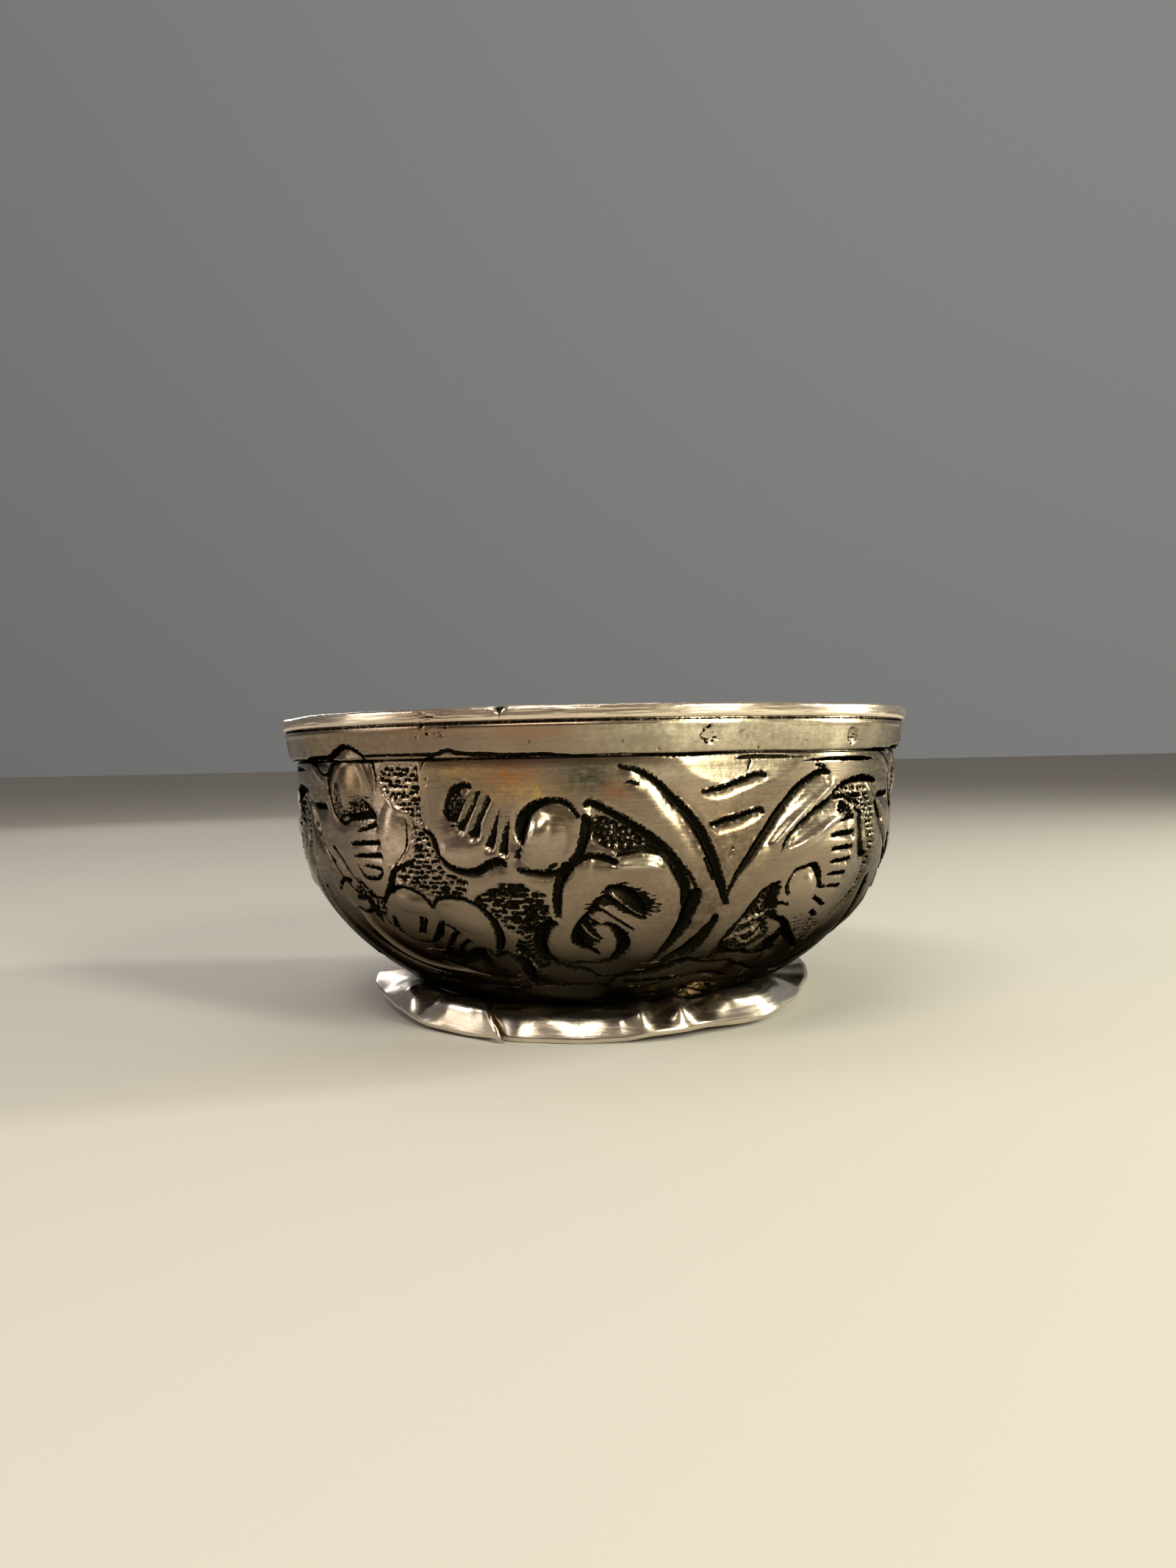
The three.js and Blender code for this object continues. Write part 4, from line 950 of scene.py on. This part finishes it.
def cutStroke(stroke, kind):
    course = smoothStroke(stroke)
    low, high = course.min(0), course.max(0)
    for rows, columns, bearings in eachRepeat(low[0], high[0], low[1], high[1], chasing["margin"]):
        patch = np.ix_(rows, columns)
        edge, width, side = edgeDistance(course, rows, bearings)
        inside = np.clip(-edge / np.maximum(width / 2, 1e-6), 0, 1)
        dome = (1 - np.cos(np.pi * inside)) / 2
        if kind in ("groove", "notch"):
            share = chasing["notchShoulder"] if kind == "notch" else 1
            cutGroove(patch, edge, width, side, inside, share)
        elif kind == "line":
            paintMost("cut", patch, chasing["lineDepthForWidth"] * width * inside)
            dark = 1.2 * np.clip(1 - np.maximum(edge + 0.02, 0) / 0.07, 0, 1)
            paintMost("patina", patch, dark * np.clip(width / 0.15, 0.3, 1))
        elif kind == "soft":
            paintMost("trough", patch, chasing["softDepth"] * np.minimum(width, 1) * dome)
            paintMost("patina", patch, 0.34 * inside)
        else:
            relief["rise"][patch] += chasing["steepness"][kind] * width * dome
            relief["patina"][patch] *= 1 - 0.85 * inside
            # The painted shade low on the belly is lifted off raised strokes, a painted highlight
            paintMost("shadeLifted", patch, inside)


def cutStrokes(kinds):
    for kind, strokes in kinds.items():
        for stroke in strokes:
            cutStroke(stroke, kind)


def raiseLobe(angle, drop, wide, high, turn, rise):
    for patch, x, y in eachSpot(angle, drop, 1.5 * max(wide, high)):
        relief["rise"][patch] += rise * np.clip(1 - ovalAway(x, y, wide, high, turn) ** 2, 0, 1) ** 1.2


def groundMask(corners, rows, bearings, soft):
    # How far each point lies inside a ground, from 0 at its edge to 1
    radius = rowRadius[rows][:, None]
    x = np.radians(bearings)[None] * radius
    y = drops[rows][:, None] + 0 * x
    inside = np.zeros(x.shape, bool)
    nearest = np.full(x.shape, 9.0)
    for (a0, d0), (a1, d1) in zip(corners, corners[1:] + corners[:1]):
        x0, x1 = math.radians(a0) * radius, math.radians(a1) * radius
        inside ^= ((d0 > y) != (d1 > y)) & (x < (x1 - x0) * (y - d0) / (d1 - d0 + 1e-9) + x0)
        along = (x - x0) * (x1 - x0) + (y - d0) * (d1 - d0)
        t = np.clip(along / ((x1 - x0) ** 2 + (d1 - d0) ** 2 + 1e-9), 0, 1)
        nearest = np.minimum(nearest, np.hypot(x - x0 - t * (x1 - x0), y - d0 - t * (d1 - d0)))
    return np.clip(np.where(inside, nearest, -nearest) / soft + 0.5, 0, 1)


def punchGround(ground):
    ground = {**mostGrounds, **ground}
    corners, corner, shadeLift, gloom = (ground[part] for part in ("corners", "corner", "shadeLift", "gloom"))
    (lowAngle, lowDrop), (highAngle, highDrop) = np.min(corners, 0), np.max(corners, 0)
    (across, down), (strayAcross, strayDown) = ground["pitch"], ground["stray"]
    for rows, columns, bearings in eachRepeat(lowAngle, highAngle, lowDrop, highDrop, 0.8):
        patch = np.ix_(rows, columns)
        mask = groundMask(corners, rows, bearings, ground["softness"])
        relief["rise"][patch] -= ground["sink"] * mask
        dent, shade = np.zeros(mask.shape), np.zeros(mask.shape)
        radius = rowRadius[rows]
        for line, drop in enumerate(np.arange(lowDrop, highDrop, down)):
            stepAngle = math.degrees(across / wallAt(drop)[0])
            for angle in np.arange(lowAngle + line % 2 * stepAngle / 2, highAngle, stepAngle):
                markAngle = angle + rng.normal(0, strayAcross) * stepAngle
                markDrop = drop + rng.normal(0, strayDown) * down
                wide, high = np.array(ground["punch"]) * rng.uniform(*ground["sizes"], 2)
                beside = np.abs(np.radians(bearings - markAngle) * radius.mean()) < 2 * wide
                level = np.abs(drops[rows] - markDrop) < 2 * high
                spot = np.ix_(level, beside)
                x = np.radians(bearings[beside] - markAngle)[None] * radius[level][:, None]
                y = (drops[rows][level] - markDrop)[:, None]
                hollow = np.clip(1.25 - (np.abs(x / wide) ** corner + np.abs(y / high) ** corner), 0, 1)
                hollow *= rng.uniform(0.7, 1)
                # The punch leaned, so a mark is deep at its top; painted shade darkens its top and lifts
                # towards its foot
                tilt = 0 if ground["raised"] else np.clip(y / high, -1, 1)
                dent[spot] = np.maximum(dent[spot], hollow * (1 - 0.45 * tilt))
                shade[spot] = np.maximum(shade[spot], hollow * (1 - np.clip(shadeLift * tilt, 0, 1)))
        if ground["raised"]:
            dent, shade = 1 - dent, 1 - shade
        paintMost("cut", patch, ground["depth"] * dent * mask)
        paintMost("patina", patch, (gloom + (ground["darkest"] - gloom) * shade) * mask)


def pressPit(angle, drop, radius, depth):
    for patch, x, y in eachSpot(angle, drop, 3 * radius):
        noise = frayNoise[patch]
        away = np.hypot(x, y * 1.2) / radius + 0.07 * noise * (radius > 0.4)
        paintMost("cut", patch, depth * np.clip(1.6 - 1.6 * away ** 2, 0, 1))
        relief["rise"][patch] += 0.25 * depth * np.exp(-((away - 1.25) / 0.25) ** 2)
        rim = 0.85 * np.exp(-((away - 0.9) / 0.16) ** 2) * np.clip(0.75 - x / radius, 0.3, 1)
        flecks = 0.95 * np.clip(noise * 0.9, 0, 1) * (away < 0.9)
        paintMost("patina", patch, np.maximum(rim, flecks))


def smudge(angle, drop, wide, high, turn, strength):
    for patch, x, y in eachSpot(angle, drop, 1.6 * max(wide, high)):
        away = ovalAway(x, y, wide, high, turn) + 0.16 * frayNoise[patch]
        paintMost("patina", patch, strength * np.clip((1.15 - away) / 0.3, 0, 1))


def tintPatch(angle, drop, wide, high, colour, strength):
    for patch, x, y in eachSpot(angle, drop, 2.2 * max(wide, high)):
        share = np.clip(strength * np.exp(-(x / wide) ** 2 - (y / high) ** 2) * mottle[patch], 0, 1)
        old = tint[patch]
        total = 1 - (1 - old[..., 3]) * (1 - share)
        weight = (share / np.maximum(total, 1e-6))[..., None]
        blended = old[..., :3] * (1 - weight) + np.array(colour) * weight
        tint[patch] = np.concatenate([blended, total[..., None]], -1)


def raisedStreaks(count):
    # Thin raised streaks on the belly's underside, with the painted shade there lifted off them
    draw = np.random.default_rng(55)
    streaks = []
    for _ in range(count):
        angle, drop, length = draw.uniform(-58, 50), draw.uniform(17.2, 25), draw.uniform(3, 10)
        width, fall = draw.uniform(0.08, 0.2), draw.uniform(-0.5, 0.5)
        middle = (angle + length / 2, drop + 0.1, width)
        streaks.append([(angle, drop, 0.03), middle, (angle + length, drop + fall, 0.03)])
    return streaks


# Painted shade lies low on the belly, starting higher at a repeat's two sides, and dark grime lies in the
# grooves
shadeAndGrime = {
    "start": 12.7,  # the drop at which it starts in the middle of a repeat
    "lift": 4.5,  # how much higher it starts at a repeat's two sides
    "fade": (5.6, 3.0),  # the drop over which it comes up, and how much more that is at the sides
    "most": 0.96,
}


def shadeAndGrimeField():
    span = 360 / chasing["repeats"]
    bearings = (angles + span / 2) % span - span / 2
    sideways = np.clip(np.maximum((-bearings - 12) / 34, (bearings - 46) / 14), 0, 1)
    start = shadeAndGrime["start"] - shadeAndGrime["lift"] * sideways
    fade = shadeAndGrime["fade"][0] + shadeAndGrime["fade"][1] * sideways
    low = np.clip((drops[:, None] - start) / fade, 0, 1) ** 1.25
    low *= np.clip(0.9 + 0.08 * wobble(12, 9, 2, 9), 0, shadeAndGrime["most"])
    return np.maximum(low, relief["grime"]) * (1 - 0.7 * relief["shadeLifted"])


print("chasing the belly")
grooves = [*veeStrokes, *scrollStrokes, *upperPaisleyStrokes, *leafStrokes, *lowerPaisleyStrokes,
           *sideStrokes, *baseStrokes]
cuts = {"line": lineStrokes, "groove": grooves, "notch": hatches, "soft": softStrokes}
bumps = {"ridge": [*ridges, *raisedStreaks(chasing["raisedStreaks"])], "swell": swells}
cutStrokes(cuts)
for ground in grounds:
    punchGround(ground)
for work, marks in ((raiseLobe, lobes), (pressPit, pits), (smudge, smudges)):
    for mark in marks:
        work(*mark)
cutStrokes(bumps)

# Tarnish, painted highlights and painted shade go into the tint
print("tarnishing it")
tint[..., :3] = finishes["oxidised silver"]["colour"]
for mark in tarnishAndPaintedLight:
    tintPatch(*mark)
# Painted shade low on the belly and at a repeat's sides, with grime in the grooves
shellShadeAndGrime = shadeAndGrimeField()


# What goes round the whole wall: the plain band, the line below it, and the seam under the wire
rounds = {
    "bandProud": 0.12,
    "lineDrop": 3.36,
    "lineWander": 0.03,
    "lineDepth": 0.2,
    "lineWidth": 0.07,
    "seamDrop": 1.08,
    "seamDepth": 0.16,
    "seamWidth": 0.08,
    "swellDrop": 1.4,  # a low swell under the seam
    "swellRise": 0.06,
    "shoulderFall": 0.3,  # how far the belly rounds over below the line
    "shoulderReach": 5,
    "stepFall": 0.12,  # how far it steps in right under the line
    "stepReach": 0.8,
    "unevenness": 0.06,
    "roughness": 0.05,  # in the patina
}


def shellRelief():
    down = drops[:, None]
    under = down - rounds["lineDrop"]
    edge = rounds["lineDrop"] + rounds["lineWander"] * wobble(3, 9, 1, 7)
    # The band stands proud of the line, and the belly under it rounds over
    band = rounds["bandProud"] * np.clip((edge - down) / 0.12, 0, 1)
    roundOver = rounds["shoulderFall"] * np.clip(1 - under / rounds["shoulderReach"], 0, 1) ** 1.5
    step = rounds["stepFall"] * np.clip(1 - under / rounds["stepReach"], 0, 1) ** 2
    shoulder = -(roundOver + step) * (under > -0.05)
    line = np.exp(-((down - edge) / rounds["lineWidth"]) ** 2)
    seam = np.exp(-((down - rounds["seamDrop"]) / rounds["seamWidth"]) ** 2)
    swell = rounds["swellRise"] * np.exp(-((down - rounds["swellDrop"]) / 0.1) ** 2)
    rough = blurred(rng.normal(size=shape), 1)
    fine = blurred(rng.normal(size=shape), 3)
    uneven = rounds["unevenness"] * wobble(5, 14, 3, 16) * np.clip((down - 1) / 4, 0.15, 1)
    burr = relief["burr"] * (0.03 + 0.07 * np.clip(fine * 3, -0.4, 1.2)) * (relief["cut"] < 0.03)
    field = band + shoulder + uneven + blurred(relief["rise"], 2) - blurred(relief["trough"], 2)
    field += burr + swell - relief["cut"] - rounds["lineDepth"] * line - rounds["seamDepth"] * seam
    field += rough * rounds["roughness"] * np.clip(relief["patina"], 0.04, 0.6)
    dark = np.maximum(1.15 * line * (0.9 + 0.2 * wobble(8, 7, 3, 30)), seam)
    return field, np.clip(np.maximum(relief["patina"], dark), 0, 1.3)


# The shell's loops go from the middle of its underside up the outside, and down the inside to the floor
cup = {
    "baseRings": (1.0, 4.5, 8, 11, 12.8, 13.6),
    "floorRings": (13.6, 12.6, 11, 9, 7, 5, 3, 1.2),
    "floorDip": 0.04,
    "step": 0.6,
    "pressed": 0.35,  # share of the chasing that shows inside
}


def shellLoops():
    field, patina = shellRelief()
    turned, dark, colours, shadeAndGrimeRows = [], [], [], []
    ring = np.zeros(len(angles))
    plain = np.broadcast_to([*finishes["oxidised silver"]["colour"], 0], (len(angles), 4))

    def add(radius, height, shade, colour=plain, shadeAndGrimeAmount=0.0):
        turned.append(spun(radius + ring, angles, height + ring))
        dark.append(shade + ring)
        colours.append(colour)
        shadeAndGrimeRows.append(shadeAndGrimeAmount + ring)

    for radius in cup["baseRings"]:
        add(radius, form["baseHeight"], 0.3, plain, shellShadeAndGrime[-1])
    for i in range(len(drops) - 1, -1, -1):
        push = field[i] * min(1, (len(drops) - 1 - i) / 5)
        add(rowRadius[i] + rowOut[i] * push, rowHeight[i] + rowUp[i] * push, patina[i], tint[i], shellShadeAndGrime[i])
    top = form["height"] - form["wireHeight"]
    add(rowRadius[0] + field[0] - 0.12, top, 0.7)
    add(wallRadius(top) - form["thickness"] + 0.15, top, 0.5)
    floor = form["baseHeight"] + form["thickness"]
    pressed = blurred(relief["rise"] - relief["trough"] - 0.5 * relief["cut"], 12)
    for i in np.searchsorted(drops, np.arange(drops[0], drops[-1], cup["step"])):
        push = cup["pressed"] * pressed[i] - form["thickness"]
        height = rowHeight[i] + rowUp[i] * push
        if (height < floor + 0.12).any():
            break
        low = max(0, 1 - (height.mean() - floor) / 6)
        add(rowRadius[i] + rowOut[i] * push, np.minimum(height, top), 0.22 + 0.16 * low)
    for radius in cup["floorRings"]:
        dip = cup["floorDip"] * np.cos(np.radians(angles) * 3 + radius)
        add(radius, floor + dip * radius / 14, 0.3)
    return np.array(turned), {"patina": np.array(dark), "tint": np.array(colours), "shadeAndGrime": np.array(shadeAndGrimeRows)}


print("building the shell")
loops, coats = shellLoops()
silver = silverMaterial("oxidised silver")
skin("chased_shell", loops, coats, silver, "bowl_shell", capped=True)


# Lip wire: a drawn wire with lines along it and a nick where its ends meet
wire = {
    "outside": 25.0,
    "inside": 23.8,
    "corner": 3.2,  # 2 is round, and more is squarer
    "drawLines": [0.32, 0.47, 0.6, 0.74],  # shares of the way up its outside
    "lineDepth": 0.03,
    "lineWidth": 0.028,
    "jointAngle": -13.6,
    "nickDepth": 0.3,
    "nickDrop": 0.22,
    "seamDepth": 0.05,
    "scuffAngle": -25,
    "rust": 0.3,
    "steps": 900,
    "around": 72,
}


def wireLoops():
    theta = np.linspace(-180, 180, wire["steps"], endpoint=False)[:, None]
    turn = np.linspace(0, 2 * math.pi, wire["around"], endpoint=False)[None]
    halfWide, halfHigh = (wire["outside"] - wire["inside"]) / 2, form["wireHeight"] / 2
    across, up = (np.sign(part) * np.abs(part) ** (2 / wire["corner"])
                  for part in (np.cos(turn), np.sin(turn)))
    outer = np.clip(across, 0, 1)
    share = (up + 1) / 2  # 0 at the wire's foot and 1 at its top
    draw = np.random.default_rng(41)
    groove = np.zeros((wire["steps"], wire["around"]))
    for level in wire["drawLines"]:
        strength = np.clip(0.55 + 0.6 * ringWaves(draw, theta, 2, 40, 8), 0, 1.4)
        course = share - level - 0.03 * ringWaves(draw, theta, 1, 5, 3)
        groove += strength * np.exp(-(course / wire["lineWidth"]) ** 2)
    groove *= outer ** 2
    grit = draw.normal(size=groove.shape)
    grit = (grit + np.roll(grit, 1, 0) + np.roll(grit, -1, 0)) / 3
    fromScuff = theta - wire["scuffAngle"]
    scuff = np.exp(-(fromScuff / 2.6) ** 2) * outer * (share < 0.8)
    joint = np.abs(theta - wire["jointAngle"])
    nick = np.clip(1 - joint, 0, 1) * np.clip((share - 0.45) / 0.5, 0, 1) * np.clip(across + 0.3, 0, 1)
    seam = np.exp(-(joint / 0.16) ** 2) * outer
    push = -wire["lineDepth"] * groove - wire["nickDepth"] * nick - wire["seamDepth"] * seam
    push += -0.05 * scuff * np.abs(grit) + 0.006 * grit * outer
    rise = 0.03 * ringWaves(draw, theta, 3, 22, 6) + 0.012 * ringWaves(draw, theta, 40, 160, 8)
    radius = (wire["outside"] + wire["inside"]) / 2 + (halfWide + push) * across
    radius += 0.02 * ringWaves(draw, theta, 3, 14, 5)
    height = form["height"] - halfHigh + halfHigh * up - wire["nickDrop"] * nick * (up > 0)
    height += (rise - 0.04) * np.clip(up, 0, 1)
    # Patina lies in the lines, the nick and the seam, along the wire's foot and inside
    dark = np.clip(0.28 * groove + nick * 1.3 + 0.5 * seam + 0.6 * scuff * np.abs(grit), 0, 1)
    for other in (np.clip((0.06 - share) / 0.06, 0, 1) * 0.8, 0.3 * np.clip(-across, 0, 1)):
        dark = np.maximum(dark, other)
    return spun(radius, theta, height), coatsFor(dark, rust, wire["rust"] * np.exp(-(fromScuff / 6) ** 2))


print("drawing the lip wire")
loops, coats = wireLoops()
skin("lip_wire_drawn", loops, coats, silverMaterial("drawn wire silver"), "lip_wire")


# Foot: a strip bent to a ring under the base and flared out by hand.
# Its course is a row of (angle, tip radius, tip lift, bend radius, bend height).
foot = {
    "neckRadius": 13.6,
    "neckHeight": form["baseHeight"],
    "clearRadius": 14.4,  # out from here the base no longer lies over it
    "offset": -0.4,
    "thickness": 0.6,
    "start": -32,
    "end": -21.8,
    "lap": 12,  # degrees over which the outer end rides over the inner one
    "slant": 9,  # degrees by which the outer end stands back at the neck
    "dentedAngle": 28,
    "gilt": 0.16,
    "steps": 720,
    "spans": 26,
    "around": 14,
    "course": [
        (-31, 16.3, 0, 15.1, 1.7), (-24, 16.4, 0, 15.2, 1.7), (-19, 16.6, 0, 15.4, 1.8),
        (-10, 16.5, 0, 15.4, 1.8), (0, 16.55, 0, 15.4, 1.8), (7, 16.55, 0.05, 15.4, 1.85),
        (12, 16.8, 0.25, 16.0, 2.35), (17, 16.9, 0.4, 15.1, 1.7), (22, 16.9, 0.5, 16.0, 2.5),
        (29, 16.6, 0.5, 14.9, 1.5), (38, 16.55, 0.35, 15.9, 2.3), (48, 17.1, 0.35, 16.1, 2.3),
        (57, 16.9, 0.55, 15.7, 2.1), (72, 17, 0.8, 15.1, 1.9), (80, 17.5, 1.3, 15, 1.9),
        (90, 17.7, 1.9, 15, 1.9), (100, 17.7, 2.0, 14.9, 1.8), (112, 17.4, 1.5, 15, 1.9),
        (128, 17, 0.6, 15.5, 1.9), (142, 16.8, 0, 15.5, 1.8), (155, 16.8, 0.05, 15.5, 1.8),
        (168, 17.1, 0.45, 15.5, 1.9), (180, 17.25, 0.6, 15.5, 1.9), (196, 16.9, 0.15, 15.5, 1.8),
        (214, 16.9, 0, 15.5, 1.8), (232, 17.2, 0.25, 15.6, 1.9), (248, 17.9, 1.1, 15.4, 2),
        (258, 18.2, 1.5, 15.3, 2), (266, 18.3, 1.6, 15.4, 2.2), (274, 18.1, 1.3, 15.4, 2.1),
        (282, 17.4, 1, 15.5, 2.1), (289, 17, 0.9, 15.6, 2.2), (297, 16.8, 0.65, 16.0, 2.35),
        (303, 16.9, 0.5, 15.9, 2.1), (308, 16.8, 0.35, 15.1, 1.65), (314, 16.75, 0.25, 15.6, 2.1),
        (319, 16.7, 0.2, 16.0, 2.3), (328, 16.75, 0.1, 16.0, 2.3), (335, 17.1, 0.2, 16.1, 2.3),
        (338.4, 17.55, 0.15, 16.3, 2.3),
    ],
}


def footLoops():
    sweep = np.linspace(foot["start"], foot["end"] + 360, foot["steps"])[:, None]
    at, *columns = np.array(foot["course"]).T
    values = [np.interp(sweep, at, column) for column in columns]
    for value in values:
        for _ in range(6):
            value[1:-1] = (value[:-2] + 2 * value[1:-1] + value[2:]) / 4
    tipRadius, tipLift, bendRadius, bendHeight = values
    draw = np.random.default_rng(63)
    half = foot["thickness"] / 2
    lap = np.clip((sweep - (foot["end"] + 360 - foot["lap"])) / foot["lap"], 0, 1)
    tipRadius = tipRadius + 0.03 * ringWaves(draw, sweep, 8, 26, 7)
    tipLift = tipLift + 0.05 * ringWaves(draw, sweep, 8, 26, 7) * np.clip(tipLift * 3, 0, 1)
    tip = (tipRadius - half, half + np.maximum(tipLift, 0))
    neck = (foot["neckRadius"] + 0.05 * ringWaves(draw, sweep, 6, 30, 6), foot["neckHeight"])
    bend = (bendRadius + 0.05 * ringWaves(draw, sweep, 7, 24, 7) + 0.25 * lap, bendHeight)
    # The strip's middle is a curve from the neck past the bend to the tip
    t = np.linspace(0, 1, foot["spans"])[None]
    middle = [(1 - t) ** 3 * n + 3 * t * (1 - t) * b + t ** 3 * p for n, b, p in zip(neck, bend, tip)]
    along = [t ** 2 * p - (1 - t) ** 2 * n + (1 - 2 * t) * b for n, b, p in zip(neck, bend, tip)]
    along = np.stack(along, -1) / np.hypot(*along)[..., None]
    out = np.stack([-along[..., 1], along[..., 0]], -1)
    turns, slants, phases = draw.integers(9, 34, 9), draw.uniform(-5, 5, 9), draw.uniform(0, 6.28, 9)
    dents = sum(0.022 * np.cos(np.radians(sweep) * n + t * m + p) for n, m, p in zip(turns, slants, phases))
    dents *= 0.3 + 0.7 * np.exp(-((sweep - foot["dentedAngle"]) / 26) ** 2)
    thick = half * (1 - 0.3 * lap * (1 - 0.5 * t))
    upper, lower = (np.stack(middle, -1) + out * (side * thick + dents * 0.7)[..., None]
                    for side in (1, -1))
    # A rounded lip joins the two faces at the flange's edge
    lipTurn = np.linspace(0, math.pi, foot["around"])[None, 1:-1, None]
    centre, arm = (upper[:, -1:] + lower[:, -1:]) / 2, (upper[:, -1:] - lower[:, -1:]) / 2
    reach = np.linalg.norm(arm, axis=-1, keepdims=True)
    lip = centre + arm * np.cos(lipTurn) + along[:, -1:] * reach * np.sin(lipTurn)
    radius, height = np.moveaxis(np.concatenate([upper, lip, lower[:, ::-1]], 1), -1, 0)
    height = np.clip(height, 0, np.where(radius > foot["clearRadius"], math.inf, foot["neckHeight"]))
    # Share of the way from the neck to the edge, for each point of a loop
    share = np.concatenate([t[0], np.ones(lip.shape[1]), t[0][::-1]])[None]
    loops = spun(radius, sweep - foot["slant"] * lap * (1 - share) ** 0.6, height)
    loops[..., 0] += foot["offset"]
    # Painted shade darkens the strip close to the neck, under the belly, and patina lies all over the
    # underside
    close = np.clip(1.1 - (radius - foot["neckRadius"]) / 1.1, 0, 1)
    dark = np.clip(0.85 * close * np.clip((height - 0.5) / 1.2, 0, 1), 0, 1)
    underside = foot["spans"] + foot["around"] - 2
    dark[:, underside:] = np.maximum(dark[:, underside:], 0.3)
    gilding = 0.5 + 0.5 * np.cos(np.linspace(0, 40, foot["steps"]))
    return loops, coatsFor(dark, gilt, (foot["gilt"] * gilding)[:, None])


print("flaring the foot")
loops, coats = footLoops()
paleSilver = silverMaterial("bright strip silver")
skin("foot_strip_flared", loops, coats, paleSilver, "foot_strip", capped=True)


# Solder: a lumpy bead inside the strip
solder = {
    "outside": 13.2,
    "width": 0.75,
    "drop": 0.62,
    "lumps": 12,
    "lumpSize": 0.07,
    "steps": 360,
    "around": 18,
}


def solderLoops():
    theta = np.linspace(-180, 180, solder["steps"], endpoint=False)[:, None]
    turn = np.linspace(0, 2 * math.pi, solder["around"], endpoint=False)[None]
    half = solder["width"] / 2
    lumps = ringWaves(np.random.default_rng(77), theta, 9, 70, solder["lumps"])
    swell = 1 + solder["lumpSize"] * math.sqrt(solder["lumps"]) * lumps
    radius = solder["outside"] - half + half * np.cos(turn) * np.clip(swell, 0.6, 1.0)
    hang = solder["drop"] * np.clip(-np.sin(turn), 0, 1) * np.clip(swell, 0.6, 1.15)
    loops = spun(radius, theta, form["baseHeight"] - 0.02 - hang)
    loops[..., 0] += foot["offset"]
    return loops, coatsFor(np.full(loops.shape[:2], 0.35))


print("running the solder")
loops, coats = solderLoops()
skin("solder_bead_run", loops, coats, silverMaterial("dull solder"), "solder_bead")


print("setting the stage")
addCamera()
addLamps()
addWorld()
addFloor()
